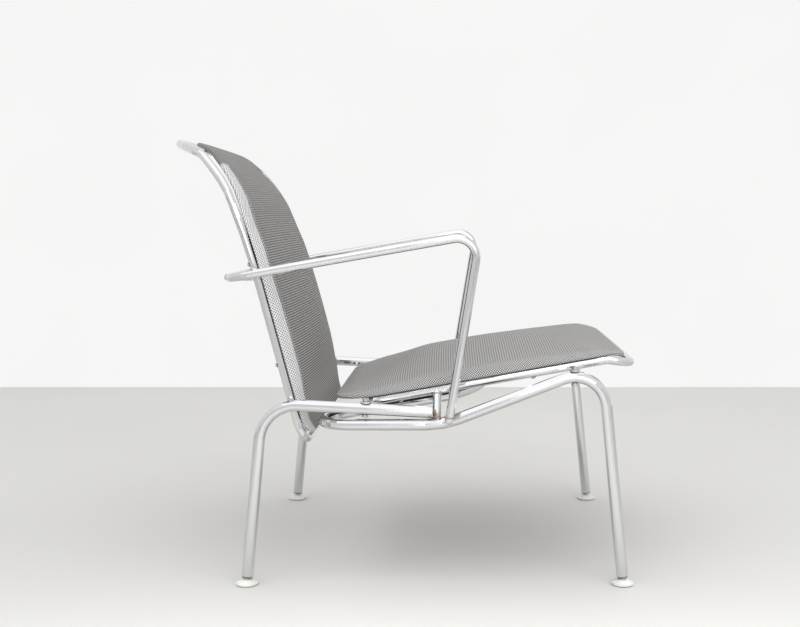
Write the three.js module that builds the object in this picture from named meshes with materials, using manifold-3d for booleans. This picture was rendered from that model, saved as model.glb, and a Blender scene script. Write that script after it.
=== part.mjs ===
import * as THREE from 'three';
import { mergeVertices } from 'three/addons/utils/BufferGeometryUtils.js';
import Module from 'manifold-3d';

// Lounge chair on a bent steel tube base, with a padded seat and a padded back.
// Millimetres, Z up. The sitter faces -Y, and the sitter's right hand is at -X.

const wasm = await Module();
wasm.setup();

// Tube stock and general clearances
const baseTube = 20;
const frameTube = 15;
const clearance = 0.3;
const overrun = 6;

// Facets
const tubeSides = 16;
const smallSides = 12;
const screwSides = 8;
const bendStepDegrees = 12;
const weldTolerance = 0.0001;
const sameSpot = 0.01;

// Base: feet and leg lines
const baseHalfWidth = 285;
const footHalfLength = 325.8;
const legRakeDegrees = 5.83;
const tubeEndHeight = 15;

// Base: front hoop, from the front foot over the crest, back along the floor side,
// round the rear hairpin and forward again under the seat
const crestHeight = 383.6;
const crestBend = 55;
const slantDegrees = 20.93;
const lowRunHeight = 279.5;
const lowBend = 160;
const hairpinY = 195;
const railHalfWidth = 181;
const railRearDrop = 3.4;
const railPitchDegrees = 9.43;
const railFrontY = -82;
const railFrontBend = 100;

// Base: rear legs, welded on top of the hoop's low bend
const rearRunEndY = 4.1;
const rearRunPitchDegrees = 3.02;
const rearBend = 64;

// Arm hoop, outside the base
const armFootY = -25.2;
const armFootRise = 4.8;
const postRakeDegrees = 9.53;
const armFrontHeight = 604.7;
const armFrontBend = 32;
const armPitchDegrees = 9.95;
const armRearBend = 50;
const armSpacerLength = 29.2;

// Seat frame
const seatHalfWidth = 250;
const seatRearY = 119;
const seatRearBend = 25;
const seatShoulderY = -300;
const seatShoulderBend = 40;
const seatNoseRun = 43.65;
const seatNoseDropDegrees = 9.9;
const seatCrossingBend = 36;

// Lugs welded to the seat frame and the bolts through them
const lugWidth = 18;
const lugThickness = 3;
const rearLugY = 117.5;
const rearLugLift = 4.5;
const frontLugDrop = 4.3;
const boltDiameter = 6;
const boltHoleDiameter = 6.8;
const boltHeadAcross = 11;
const boltHeadHeight = 4;
const nutAcross = 11;
const nutHeight = 3.8;
const boltTail = 1.4;

// Stays between the hoop's low bend and the seat frame
const stayTube = 15;

// Back frame, told from the point where it passes the rear leg run
const backHalfWidth = 250;
const backMountY = 248.3;
const backRakeDegrees = 14.56;
const backBelowMount = 42.3;
const backTuckRun = 28.5;
const backTuckDegrees = 26.5;
const backTuckBend = 40;
const backAboveMount = 275.3;
const backMidBend = 600;
const backMidRun = 118.3;
const backMidDegrees = 19.6;
const backUpperBend = 176;
const backUpperRun = 73.3;
const backUpperDegrees = 43.6;
const backTipBend = 42;
const backTipRun = 77;
const backTipDegrees = 69.4;
const backTopCorner = 211;
const backFootCorner = 22;
const backMarkNearest = 6;

// Spacers and their screws
const spacerDiameter = 12;
const spacerHole = 6.8;
const screwDiameter = 6;
const screwHeadDiameter = 11;
const screwHeadHeight = 3.4;
const screwHeadEdge = 1.2;
const screwCrownShare = 0.62;
const screwTip = 3;
const screwPitDepth = 4;
const screwHoleDiameter = 6.8;

// Boards under the pads
const boardThickness = 3;
const boardHalfWidth = 254.7;
const boardCornerShares = [0.15, 0.5, 1];
const seatBoardOverhang = 58.7;
const seatBoardNoseSetback = 12;
const backBoardTopSetback = 23.2;
const backBoardFootSetback = 4;
const backBoardFootCorner = 48;

// Board screws, from under the frame tubes into the boards
const boardScrewDiameter = 4;
const boardScrewHole = 4.8;
const boardScrewHeadDiameter = 8;
const boardScrewHeadHeight = 2.4;
const boardScrewHeadEdge = 0.8;
const boardScrewBite = 2;
const boardScrewPit = 2.4;
const seatBoardScrewYs = [60, -170];
const backBoardScrewRises = [70, 250];

// Pads: a fabric edge, a border that slopes to the seam ridge, and a crowned top
const fabricWrap = 1.2;
const padEdge = 4.5;
const seatRidgeInset = 35;
const seatRidgeHeight = 20;
const seatCrownHeight = 42;
const seatCrownRun = 150;
const seatRiseRun = 150;
const seatFallRun = 280;
const seatRearCorner = 95;
const seatFrontCorner = 60;
const backRidgeInset = 35;
const backRidgeHeight = 19;
const backCrownHeight = 31;
const backCrownRun = 150;
const backRiseRun = 360;
const backFallRun = 150;
const padInsets = [3, 12, 22, 60, 100, 160];
const padRowGap = 48;
const padRowNearest = 2.5;

// Feet: an insert in the tube end, a ball stem and a tilting glide disc
const tubeBore = 17;
const insertClearance = 0.3;
const insertLength = 18;
const insertBoreDepth = 20;
const insertFlange = 1.5;
const insertFlangeDiameter = 19;
const stemDiameter = 7;
const stemHoleDiameter = 7.9;
const stemReach = 14;
const stemHoleDepth = 15;
const ballHeight = 7;
const ballDiameter = 10;
const socketDiameter = 10.6;
const socketLipRise = 2.4;
const socketRimWidth = 2.5;
const discDiameter = 40;
const discEdgeBevel = 1.4;
const discEdgeHeight = 2.6;
const discDomeRadius = 14;
const discDomeHeight = 5.4;
const discSides = 16;
const ballSteps = 5;

// Looks
const chrome = { color: 0xd8dbdd, roughness: 0.14, metalness: 1 };
const zinc = { color: 0xb8bbbd, roughness: 0.35, metalness: 1 };
const ply = { color: 0x9a7c55, roughness: 0.8, metalness: 0 };
const weave = { color: 0x8f8f8d, roughness: 0.95, metalness: 0 };
const white = { color: 0xf1f1ec, roughness: 0.45, metalness: 0 };
const grey = { color: 0x3a3a3a, roughness: 0.6, metalness: 0 };

const rad = THREE.MathUtils.degToRad;
const at = (x, y, z) => new THREE.Vector3(x, y, z);
const xAxis = at(1, 0, 0);
const yAxis = at(0, 1, 0);
const zAxis = at(0, 0, 1);

// Solids and meshes

// Merges shared corners and drops the triangles that a merge leaves without area.
function welded(geometry) {
  const bare = geometry.clone();
  bare.deleteAttribute('normal');
  bare.deleteAttribute('uv');
  const merged = mergeVertices(bare, weldTolerance);
  const source = merged.index.array;
  const kept = [];
  for (let i = 0; i < source.length; i += 3) {
    const [a, b, c] = [source[i], source[i + 1], source[i + 2]];
    if (a !== b && b !== c && c !== a) kept.push(a, b, c);
  }
  merged.setIndex(kept);
  return merged;
}

function signedVolume(geometry) {
  const place = geometry.attributes.position;
  const index = geometry.index.array;
  const [a, b, c] = [at(0, 0, 0), at(0, 0, 0), at(0, 0, 0)];
  let sum = 0;
  for (let i = 0; i < index.length; i += 3) {
    a.fromBufferAttribute(place, index[i]);
    b.fromBufferAttribute(place, index[i + 1]);
    c.fromBufferAttribute(place, index[i + 2]);
    sum += a.dot(b.cross(c));
  }
  return sum;
}

// A closed body with its faces pointing out.
function outward(geometry) {
  const body = welded(geometry);
  if (signedVolume(body) < 0) body.setIndex(Array.from(body.index.array).reverse());
  return body;
}

function solid(geometry) {
  const body = outward(geometry);
  return new wasm.Manifold(new wasm.Mesh({
    numProp: 3,
    vertProperties: new Float32Array(body.attributes.position.array),
    triVerts: new Uint32Array(body.index.array),
  }));
}

function shell(body) {
  const mesh = body.getMesh();
  const geometry = new THREE.BufferGeometry();
  geometry.setAttribute('position', new THREE.BufferAttribute(new Float32Array(mesh.vertProperties), 3));
  geometry.setIndex(Array.from(mesh.triVerts));
  return geometry;
}

function made(name, geometry, look) {
  const body = geometry.index ? geometry : outward(geometry);
  body.computeVertexNormals();
  const mesh = new THREE.Mesh(body, new THREE.MeshStandardMaterial(look));
  mesh.name = name;
  return mesh;
}

// Turns a form that stands on +Y so that it points along a direction from a place.
function aimed(geometry, place, direction) {
  const turn = new THREE.Quaternion().setFromUnitVectors(yAxis, direction.clone().normalize());
  geometry.applyQuaternion(turn);
  geometry.translate(place.x, place.y, place.z);
  return geometry;
}

function aim(mesh, place, direction) {
  mesh.quaternion.setFromUnitVectors(yAxis, direction.clone().normalize());
  mesh.position.copy(place);
  return mesh;
}

// A round bar from one point to another, for cutting and for stays.
function bar(from, to, diameter, sides) {
  const run = to.clone().sub(from);
  const length = run.length();
  const form = new THREE.CylinderGeometry(diameter / 2, diameter / 2, length, sides);
  form.translate(0, length / 2, 0);
  return aimed(form, from, run);
}

// Centrelines

const corner = (x, y, z, bend = 0) => ({ at: at(x, y, z), bend });

const mirrored = (corners) => corners
  .map(({ at: place, bend }) => corner(-place.x, place.y, place.z, bend))
  .reverse();

// Stations along straight runs joined by circular bends. A bend is limited by its runs.
function centreline(corners) {
  const last = corners.length - 1;
  const run = (i) => corners[i + 1].at.clone().sub(corners[i].at);
  const turns = corners.map(({ bend }, i) => (
    i === 0 || i === last || bend === 0 ? 0 : run(i - 1).angleTo(run(i))));
  const reaches = corners.map(({ bend }, i) => bend * Math.tan(turns[i] / 2));
  const limit = (i) => Math.min(1, run(i).length() / (reaches[i] + reaches[i + 1]));
  const stations = [];
  const add = (place, along) => {
    const before = stations[stations.length - 1];
    if (before && before.at.distanceTo(place) < sameSpot) return;
    stations.push({ at: place, along });
  };
  corners.forEach((here, i) => {
    if (turns[i] === 0) {
      add(here.at.clone(), run(i === last ? i - 1 : i).normalize());
      return;
    }
    const into = run(i - 1).normalize();
    const out = run(i).normalize();
    const reach = reaches[i] * Math.min(limit(i - 1), limit(i));
    const radius = reach / Math.tan(turns[i] / 2);
    const axis = into.clone().cross(out).normalize();
    const start = here.at.clone().addScaledVector(into, -reach);
    const middle = start.clone().addScaledVector(axis.clone().cross(into), radius);
    const steps = Math.ceil(turns[i] / rad(bendStepDegrees));
    for (let k = 0; k <= steps; k += 1) {
      const angle = turns[i] * k / steps;
      const place = start.clone().sub(middle).applyAxisAngle(axis, angle).add(middle);
      add(place, into.clone().applyAxisAngle(axis, angle));
    }
  });
  return stations;
}

// The middle of a bend's circle.
function bendMiddle(before, here, after) {
  const back = before.at.clone().sub(here.at).normalize();
  const onward = after.at.clone().sub(here.at).normalize();
  const half = back.angleTo(onward) / 2;
  return here.at.clone().addScaledVector(back.add(onward).normalize(), here.bend / Math.sin(half));
}

// Height of a centreline where it first passes a given Y.
function heightAt(stations, y) {
  for (let i = 1; i < stations.length; i += 1) {
    const a = stations[i - 1].at;
    const b = stations[i].at;
    if (a.y !== b.y && (a.y - y) * (b.y - y) <= 0) {
      return a.z + (b.z - a.z) * (y - a.y) / (b.y - a.y);
    }
  }
  return stations[stations.length - 1].at.z;
}

// Distance, place and outward direction along a side line, which runs from rear to front
// on the seat and from top to bottom on the back.
function sideLine(corners, offset) {
  const stations = centreline(corners).map(({ at: place, along }) => {
    const out = at(0, along.z, -along.y);
    return { place: place.clone().addScaledVector(out, offset), out, s: 0 };
  });
  stations.forEach((station, i) => {
    if (i > 0) station.s = stations[i - 1].s + stations[i - 1].place.distanceTo(station.place);
  });
  const spot = (s) => {
    let i = 1;
    while (i < stations.length - 1 && stations[i].s < s) i += 1;
    const [a, b] = [stations[i - 1], stations[i]];
    const share = (s - a.s) / (b.s - a.s);
    return {
      place: a.place.clone().lerp(b.place, share),
      out: a.out.clone().lerp(b.out, share).normalize(),
    };
  };
  return { spot, marks: stations.map(({ s }) => s), length: stations[stations.length - 1].s };
}

// Stations of a tube loop that lies on a side line as an oblong with rounded corners, from the
// middle of its low end down one side to the middle of its high end and back up the other.
function looped(line, half, lowCorner, highCorner) {
  const quarter = Math.PI / 2;
  const turnsOf = (radius, marks) => {
    const angles = [0, quarter];
    const steps = Math.ceil(quarter / rad(bendStepDegrees));
    const wanted = [...marks.map((inset) => Math.acos(1 - inset / radius))];
    for (let k = 1; k < steps; k += 1) wanted.push(quarter * k / steps);
    wanted.forEach((angle) => {
      if (angles.every((other) => Math.abs(other - angle) * radius >= backMarkNearest)) angles.push(angle);
    });
    return angles.sort((a, b) => a - b);
  };
  const { marks, length } = line;
  const lowTurns = turnsOf(lowCorner, marks.filter((s) => s > 0 && s < lowCorner));
  const highTurns = turnsOf(highCorner, marks
    .map((s) => length - s)
    .filter((inset) => inset > 0 && inset < highCorner)).reverse();
  const sideMarks = marks.filter((s) => s > lowCorner + backMarkNearest
    && s < length - highCorner - backMarkNearest);
  const plan = [
    { x: 0, s: 0, across: -1, down: 0 },
    ...lowTurns.map((angle) => ({
      x: lowCorner - half - lowCorner * Math.sin(angle),
      s: lowCorner - lowCorner * Math.cos(angle),
      across: -Math.cos(angle),
      down: Math.sin(angle),
    })),
    ...sideMarks.map((s) => ({ x: -half, s, across: 0, down: 1 })),
    ...highTurns.map((angle) => ({
      x: highCorner - half - highCorner * Math.sin(angle),
      s: length - highCorner + highCorner * Math.cos(angle),
      across: Math.cos(angle),
      down: Math.sin(angle),
    })),
    { x: 0, s: length, across: 1, down: 0 },
  ];
  const oneSide = plan.map(({ x, s, across, down }) => {
    const { place, out } = line.spot(s);
    const along = at(across, -down * out.z, down * out.y);
    return { at: at(x, place.y, place.z), along: along.normalize() };
  });
  const otherSide = oneSide.slice(0, -1).reverse().map(({ at: place, along }) => ({
    at: at(-place.x, place.y, place.z),
    along: at(along.x, -along.y, -along.z),
  }));
  return [...oneSide, ...otherSide];
}

// The stations as a curve that hands its own points and frames to a sweep.
class StationCurve extends THREE.Curve {
  constructor(stations, closed) {
    super();
    this.stations = stations;
    const first = stations[0].along;
    const side = Math.abs(first.x) > Math.abs(first.z) ? zAxis : xAxis;
    let normal = side.clone().cross(first).normalize();
    this.frames = { tangents: [], normals: [], binormals: [] };
    stations.forEach(({ along }, i) => {
      if (i > 0) {
        const before = stations[i - 1].along;
        const axis = before.clone().cross(along);
        if (axis.length() > 0) normal.applyAxisAngle(axis.normalize(), before.angleTo(along));
      }
      if (closed && i === stations.length - 1) normal = this.frames.normals[0];
      this.frames.tangents.push(along.clone());
      this.frames.normals.push(normal.clone());
      this.frames.binormals.push(along.clone().cross(normal));
    });
    if (closed) this.frames.binormals[stations.length - 1] = this.frames.binormals[0].clone();
  }

  getSpacedPoints() {
    return this.stations.map((station) => station.at.clone());
  }

  computeFrenetFrames() {
    return this.frames;
  }
}

function round(diameter, sides) {
  const points = [];
  for (let i = 0; i < sides; i += 1) {
    const angle = i * 2 * Math.PI / sides;
    points.push(new THREE.Vector2(Math.cos(angle) * diameter / 2, Math.sin(angle) * diameter / 2));
  }
  return new THREE.Shape(points);
}

// A tube's outside along its stations. A closed loop keeps only the walls of the sweep,
// because its two end faces meet.
function swept(stations, diameter, closed = false) {
  const form = new THREE.ExtrudeGeometry(round(diameter, tubeSides), {
    steps: stations.length - 1,
    extrudePath: new StationCurve(stations, closed),
  });
  if (!closed) return form;
  const walls = form.groups.find((group) => group.materialIndex === 1);
  const places = form.attributes.position.array.slice(walls.start * 3, (walls.start + walls.count) * 3);
  const loop = new THREE.BufferGeometry();
  loop.setAttribute('position', new THREE.BufferAttribute(places, 3));
  return loop;
}

// Turned parts and fasteners, each standing on +Y

function turned(outline, sides) {
  return new THREE.LatheGeometry(outline.map(([r, y]) => new THREE.Vector2(r, y)), sides);
}

// A pan-headed screw: the head's seat is at zero, the shank runs along +Y.
function screwForm(diameter, length, headDiameter, headHeight, headEdge, sides) {
  return turned([
    [0, -headHeight],
    [headDiameter / 2 * screwCrownShare, -headHeight],
    [headDiameter / 2, -headEdge],
    [headDiameter / 2, 0],
    [diameter / 2, 0],
    [diameter / 2, length],
    [0, length],
  ], sides);
}

// A six-sided bolt: the head's seat is at zero, the shank runs along +Y.
function boltForm(length) {
  const flats = 6;
  const head = new THREE.CylinderGeometry(boltHeadAcross / 2, boltHeadAcross / 2, boltHeadHeight, flats);
  head.translate(0, -boltHeadHeight / 2, 0);
  const shank = bar(at(0, -boltHeadHeight / 2, 0), at(0, length, 0), boltDiameter, smallSides);
  return shell(solid(head).add(solid(shank)));
}

// A six-sided nut with its hole, from zero along +Y.
function nutForm() {
  const flats = 6;
  const nut = new THREE.CylinderGeometry(nutAcross / 2, nutAcross / 2, nutHeight, flats);
  nut.translate(0, nutHeight / 2, 0);
  const hole = bar(at(0, -overrun, 0), at(0, nutHeight + overrun, 0), boltHoleDiameter, smallSides);
  return shell(solid(nut).subtract(solid(hole)));
}

// Side lines of the base

const legLean = Math.tan(rad(legRakeDegrees));
const crestY = -footHalfLength + crestHeight * legLean;
const lowCornerY = crestY + (crestHeight - lowRunHeight) / Math.tan(rad(slantDegrees));
const hairpinBend = (baseHalfWidth - railHalfWidth) / 2;
const railRearHeight = lowRunHeight - railRearDrop;
const railFrontHeight = railRearHeight + (hairpinY - railFrontY) * Math.tan(rad(railPitchDegrees));

const hoopSide = [
  corner(-baseHalfWidth, -footHalfLength + tubeEndHeight * legLean, tubeEndHeight),
  corner(-baseHalfWidth, crestY, crestHeight, crestBend),
  corner(-baseHalfWidth, lowCornerY, lowRunHeight, lowBend),
  corner(-baseHalfWidth, hairpinY, lowRunHeight, hairpinBend),
  corner(-railHalfWidth, hairpinY, railRearHeight, hairpinBend),
  corner(-railHalfWidth, railFrontY, railFrontHeight, railFrontBend),
];
const hoopLine = centreline([...hoopSide, ...mirrored(hoopSide)]);
const crest = bendMiddle(hoopSide[0], hoopSide[1], hoopSide[2]);
const crestTop = crest.z + crestBend + baseTube / 2;

const rearRunSlope = Math.tan(rad(rearRunPitchDegrees));
const rearRunEndHeight = heightAt(hoopLine, rearRunEndY)
  + (baseTube + clearance) / Math.cos(rad(rearRunPitchDegrees));
const rearCornerHeight = (rearRunEndHeight + (footHalfLength - rearRunEndY) * rearRunSlope)
  / (1 + legLean * rearRunSlope);
const rearLegCorners = (side) => [
  corner(side * baseHalfWidth, footHalfLength - tubeEndHeight * legLean, tubeEndHeight),
  corner(side * baseHalfWidth, footHalfLength - rearCornerHeight * legLean, rearCornerHeight, rearBend),
  corner(side * baseHalfWidth, rearRunEndY, rearRunEndHeight),
];
const rearLine = centreline(rearLegCorners(-1));
const rearRunUp = at(0, -Math.sin(rad(rearRunPitchDegrees)), Math.cos(rad(rearRunPitchDegrees)));

// Seat frame line: it lies in the lugs, which rest on the rear runs and on the crests

const rearLugSeat = at(0, rearLugY, heightAt(rearLine, rearLugY))
  .addScaledVector(rearRunUp, baseTube / 2 + clearance);
const frontLugSeat = at(0, crest.y, crestTop + clearance);
const seatSlope = (frontLugSeat.z + frontLugDrop - rearLugSeat.z + rearLugLift)
  / (rearLugSeat.y - frontLugSeat.y);
const seatPitch = Math.atan(seatSlope);
const seatHeightAt = (y) => rearLugSeat.z - rearLugLift + (rearLugSeat.y - y) * seatSlope;
const seatNoseY = seatShoulderY - seatNoseRun * Math.cos(rad(seatNoseDropDegrees));
const seatNoseHeight = seatHeightAt(seatShoulderY) - seatNoseRun * Math.sin(rad(seatNoseDropDegrees));

const seatSide = [
  corner(-seatHalfWidth, seatRearY, seatHeightAt(seatRearY), seatRearBend),
  corner(-seatHalfWidth, seatShoulderY, seatHeightAt(seatShoulderY), seatShoulderBend),
  corner(-seatHalfWidth, seatNoseY, seatNoseHeight, seatCrossingBend),
];
const seatStart = corner(0, seatRearY, seatHeightAt(seatRearY));
const seatLine = centreline([seatStart, ...seatSide, ...mirrored(seatSide), seatStart]);

// Back frame line, from the tuck under the mount up to the tip

const onward = (from, length, degrees) => at(
  from.x,
  from.y + length * Math.sin(rad(degrees)),
  from.z + length * Math.cos(rad(degrees)),
);
const backMount = at(-backHalfWidth, backMountY, heightAt(rearLine, backMountY));
const backTuck = onward(backMount, -backBelowMount, backRakeDegrees);
const backFoot = onward(backTuck, -backTuckRun, backTuckDegrees);
const backWaist = onward(backMount, backAboveMount, backRakeDegrees);
const backShoulder = onward(backWaist, backMidRun, backMidDegrees);
const backNeck = onward(backShoulder, backUpperRun, backUpperDegrees);
const backTip = onward(backNeck, backTipRun, backTipDegrees);

const bent = (place, bend) => ({ at: at(0, place.y, place.z), bend });
const backSide = [
  bent(backTip, 0),
  bent(backNeck, backTipBend),
  bent(backShoulder, backUpperBend),
  bent(backWaist, backMidBend),
  bent(backTuck, backTuckBend),
  bent(backFoot, 0),
];
const backLine = looped(sideLine(backSide, 0), backHalfWidth, backTopCorner, backFootCorner);

// Arm hoop line: its crossing stands one spacer behind the back frame

const armHalfWidth = baseHalfWidth + baseTube / 2 + clearance + frameTube / 2;
const armFootHeight = heightAt(hoopLine, armFootY) + armFootRise;
const armFrontY = armFootY - (armFrontHeight - armFootHeight) * Math.tan(rad(postRakeDegrees));
const armSlope = Math.tan(rad(armPitchDegrees));
const backSlope = Math.tan(rad(backRakeDegrees));
const armStandoff = armSpacerLength + frameTube + 2 * clearance;
const armRearY = (backMount.y + (armFrontHeight + armFrontY * armSlope - backMount.z) * backSlope
  + armStandoff) / (1 + armSlope * backSlope);
const armRearHeight = armFrontHeight - (armRearY - armFrontY) * armSlope;

const armSide = [
  corner(-armHalfWidth, armFootY, armFootHeight),
  corner(-armHalfWidth, armFrontY, armFrontHeight, armFrontBend),
  corner(-armHalfWidth, armRearY, armRearHeight, armRearBend),
];
const armLine = centreline([...armSide, ...mirrored(armSide)]);

// Places of the bolts, screws and stays, told for the sitter's right side as side = -1

const runAt = (side, y) => at(side * baseHalfWidth, y, heightAt(rearLine, y));
const rearBoltAxis = (side) => ({
  place: at(side * baseHalfWidth, rearLugSeat.y, rearLugSeat.z),
  up: rearRunUp,
});
const frontBoltAxis = (side) => ({
  place: at(side * baseHalfWidth, frontLugSeat.y, frontLugSeat.z),
  up: zAxis,
});
const mountAt = (side, x) => at(side * x, backMount.y, backMount.z);
const armTieY = armRearY - armStandoff;
const stayY = rearRunEndY - clearance - stayTube / 2
  - baseTube / 2 * Math.sin(rad(rearRunPitchDegrees));
const stayFoot = (side) => at(side * baseHalfWidth, stayY, heightAt(hoopLine, stayY));
const stayHead = (side) => at(side * seatHalfWidth, stayY, seatHeightAt(stayY));
const seatUp = at(0, Math.sin(seatPitch), Math.cos(seatPitch));
const backFront = at(0, -Math.cos(rad(backRakeDegrees)), Math.sin(rad(backRakeDegrees)));
const seatScrewAt = (side, y) => at(side * seatHalfWidth, y, seatHeightAt(y));
const backScrewAt = (side, rise) => {
  const place = onward(backMount, rise, backRakeDegrees);
  return at(side * backHalfWidth, place.y, place.z);
};

// Cutters

const through = (place, direction, reach, diameter, sides = smallSides) => solid(bar(
  place.clone().addScaledVector(direction, -reach),
  place.clone().addScaledVector(direction, reach),
  diameter,
  sides,
));

function footBore(side, end) {
  const lean = rad(legRakeDegrees);
  const up = at(0, -end * Math.sin(lean), Math.cos(lean));
  const mouth = at(side * baseHalfWidth, end * (footHalfLength - tubeEndHeight * legLean), tubeEndHeight);
  return solid(bar(
    mouth.clone().addScaledVector(up, -overrun),
    mouth.clone().addScaledVector(up, insertBoreDepth),
    tubeBore,
    tubeSides,
  ));
}

// Forms laid on a side line: boards and pads

// Rows across a form: its ends, its insets, the stations of its line and fill-in rows.
function rowsOf(low, high, marks, insets) {
  const fixed = [low, high];
  const wanted = [
    ...marks,
    ...insets.map((inset) => low + inset),
    ...insets.map((inset) => high - inset),
  ].filter((s) => s > low && s < high);
  wanted.forEach((s) => {
    if (fixed.every((other) => Math.abs(other - s) >= padRowNearest)) fixed.push(s);
  });
  fixed.sort((a, b) => a - b);
  const rows = [];
  fixed.forEach((s, i) => {
    rows.push(s);
    if (i === fixed.length - 1) return;
    const gap = fixed[i + 1] - s;
    const count = Math.ceil(gap / padRowGap);
    for (let k = 1; k < count; k += 1) rows.push(s + gap * k / count);
  });
  return rows;
}

// Half width of a rounded oblong at a row.
function rowHalfWidth(form, s) {
  const { low, high, half, lowCorner, highCorner } = form;
  const fromLow = s - low;
  const fromHigh = high - s;
  const part = (distance, radius) => (distance >= radius ? half
    : half - radius + Math.sqrt(Math.max(radius ** 2 - (radius - distance) ** 2, 0)));
  return Math.min(part(fromLow, lowCorner), part(fromHigh, highCorner));
}

// Distance of a point from the edge of a rounded oblong.
function insetOf(form, x, s) {
  const { low, high, half, lowCorner, highCorner } = form;
  const nearLow = s - low < high - s;
  const radius = nearLow ? lowCorner : highCorner;
  const fromSide = half - Math.abs(x);
  const fromEnd = nearLow ? s - low : high - s;
  if (fromSide < radius && fromEnd < radius) {
    return radius - Math.hypot(radius - fromSide, radius - fromEnd);
  }
  return Math.min(fromSide, fromEnd);
}

// A closed body between the side line and a height over it.
function laid(line, rows, form, columnShares, topAt, bottom) {
  const places = [];
  const faces = [];
  const across = columnShares.length;
  const stride = across + 2;
  const put = (x, spot, height) => {
    const place = spot.place.clone().addScaledVector(spot.out, height);
    places.push(x, place.y, place.z);
  };
  rows.forEach((s) => {
    const spot = line.spot(s);
    const half = rowHalfWidth(form, s);
    columnShares.forEach((share) => put(share * half, spot, topAt(share * half, s)));
    put(-half, spot, bottom);
    put(half, spot, bottom);
  });
  const top = (row, k) => row * stride + k;
  const left = (row) => row * stride + across;
  const right = (row) => row * stride + across + 1;
  const end = across - 1;
  for (let r = 0; r < rows.length - 1; r += 1) {
    for (let k = 0; k < end; k += 1) {
      faces.push(top(r, k), top(r + 1, k + 1), top(r, k + 1));
      faces.push(top(r, k), top(r + 1, k), top(r + 1, k + 1));
    }
    faces.push(left(r), right(r), right(r + 1), left(r), right(r + 1), left(r + 1));
    faces.push(left(r), left(r + 1), top(r + 1, 0), left(r), top(r + 1, 0), top(r, 0));
    faces.push(top(r, end), top(r + 1, end), right(r + 1), top(r, end), right(r + 1), right(r));
  }
  const n = rows.length - 1;
  for (let k = 0; k < end; k += 1) {
    faces.push(left(0), top(0, k), top(0, k + 1));
    faces.push(left(n), top(n, k + 1), top(n, k));
  }
  faces.push(left(0), top(0, end), right(0));
  faces.push(left(n), right(n), top(n, end));
  const geometry = new THREE.BufferGeometry();
  geometry.setAttribute('position', new THREE.BufferAttribute(new Float32Array(places), 3));
  geometry.setIndex(faces);
  return geometry;
}

const flatShares = [-1, 1];

// The oblong of a board, and the pad's oblong round it.
const grown = (form, by, turn = by) => ({
  low: form.low - by,
  high: form.high + by,
  half: form.half + by,
  lowCorner: form.lowCorner + turn,
  highCorner: form.highCorner + turn,
});

function boardForm(line, form, grow = 0) {
  const rounding = boardCornerShares.flatMap((share) => [form.lowCorner * share, form.highCorner * share]);
  const rows = rowsOf(form.low, form.high, line.marks, rounding);
  rows[0] -= grow;
  rows[rows.length - 1] += grow;
  return laid(line, rows, grown(form, grow), flatShares, () => boardThickness + grow, -grow);
}

// A pad over its board: the recess that the board fills is cut out of its underside.
function padForm(line, form, board, look) {
  const inner = padInsets.map((inset) => 1 - inset / form.half);
  const ridge = 1 - look.ridgeInset / form.half;
  const halfShares = [...inner, ridge, 1].sort((a, b) => a - b);
  const columnShares = [...halfShares.map((share) => -share).reverse(), 0, ...halfShares];
  const rise = look.ridgeHeight - padEdge;
  const swell = look.crownHeight - look.ridgeHeight;
  const ease = (distance, span) => Math.sin(Math.min(Math.max(distance / span, 0), 1) * Math.PI / 2);
  const topAt = (x, s) => {
    const inset = insetOf(form, x, s);
    const acrossSide = form.half - Math.abs(x) - look.ridgeInset;
    const acrossEnd = Math.min(s - form.low, form.high - s) - look.ridgeInset;
    const crown = swell * ease(acrossSide, form.half - look.ridgeInset) * ease(acrossEnd, look.crownRun);
    const ends = Math.min((s - form.low) / look.riseRun, 1) * ease(form.high - s, look.fallRun);
    return padEdge + ends * (rise * Math.min(inset / look.ridgeInset, 1) + crown);
  };
  const rows = rowsOf(form.low, form.high, line.marks, [...padInsets, look.ridgeInset]);
  const body = solid(laid(line, rows, form, columnShares, topAt, 0));
  return body.subtract(solid(boardForm(line, board, clearance)));
}

// Oblongs of the seat board and the seat pad

const overSeat = (place) => at(0, place.y, place.z);
const padGrowth = clearance + fabricWrap;
const seatTail = seatBoardOverhang + padGrowth;
const seatPathStart = corner(
  0, seatRearY + seatTail * Math.cos(seatPitch), seatHeightAt(seatRearY) - seatTail * Math.sin(seatPitch));
const seatTopLine = sideLine([
  seatPathStart,
  corner(0, seatShoulderY, seatHeightAt(seatShoulderY), seatShoulderBend),
  corner(0, seatNoseY, seatNoseHeight),
], frameTube / 2 + clearance);
const seatBoard = {
  low: padGrowth,
  high: seatTopLine.length - seatBoardNoseSetback,
  half: boardHalfWidth,
  lowCorner: seatRearCorner - padGrowth,
  highCorner: seatFrontCorner - padGrowth,
};
const seatPad = grown(seatBoard, padGrowth);

const chair = new THREE.Group();
const sides = [[-1, 'R'], [1, 'L']];

// Front hoop

let hoop = solid(swept(hoopLine, baseTube));
sides.forEach(([side]) => {
  const { place, up } = frontBoltAxis(side);
  hoop = hoop.subtract(through(place, up, baseTube + overrun, boltHoleDiameter));
  hoop = hoop.subtract(footBore(side, -1));
});
chair.add(made('front_hoop', shell(hoop), chrome));

// Rear legs

sides.forEach(([side, letter]) => {
  const { place, up } = rearBoltAxis(side);
  const inner = at(side * (baseHalfWidth - baseTube / 2 - overrun), backMount.y, backMount.z);
  const pit = at(side * (baseHalfWidth + screwPitDepth), backMount.y, backMount.z);
  const leg = solid(swept(centreline(rearLegCorners(side)), baseTube))
    .subtract(through(place, up, baseTube + overrun, boltHoleDiameter))
    .subtract(solid(bar(inner, pit, screwHoleDiameter, smallSides)))
    .subtract(footBore(side, 1));
  chair.add(made(`rear_leg_${letter}`, shell(leg), chrome));
});

// Arm hoop, with its lower ends closed by round caps

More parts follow.
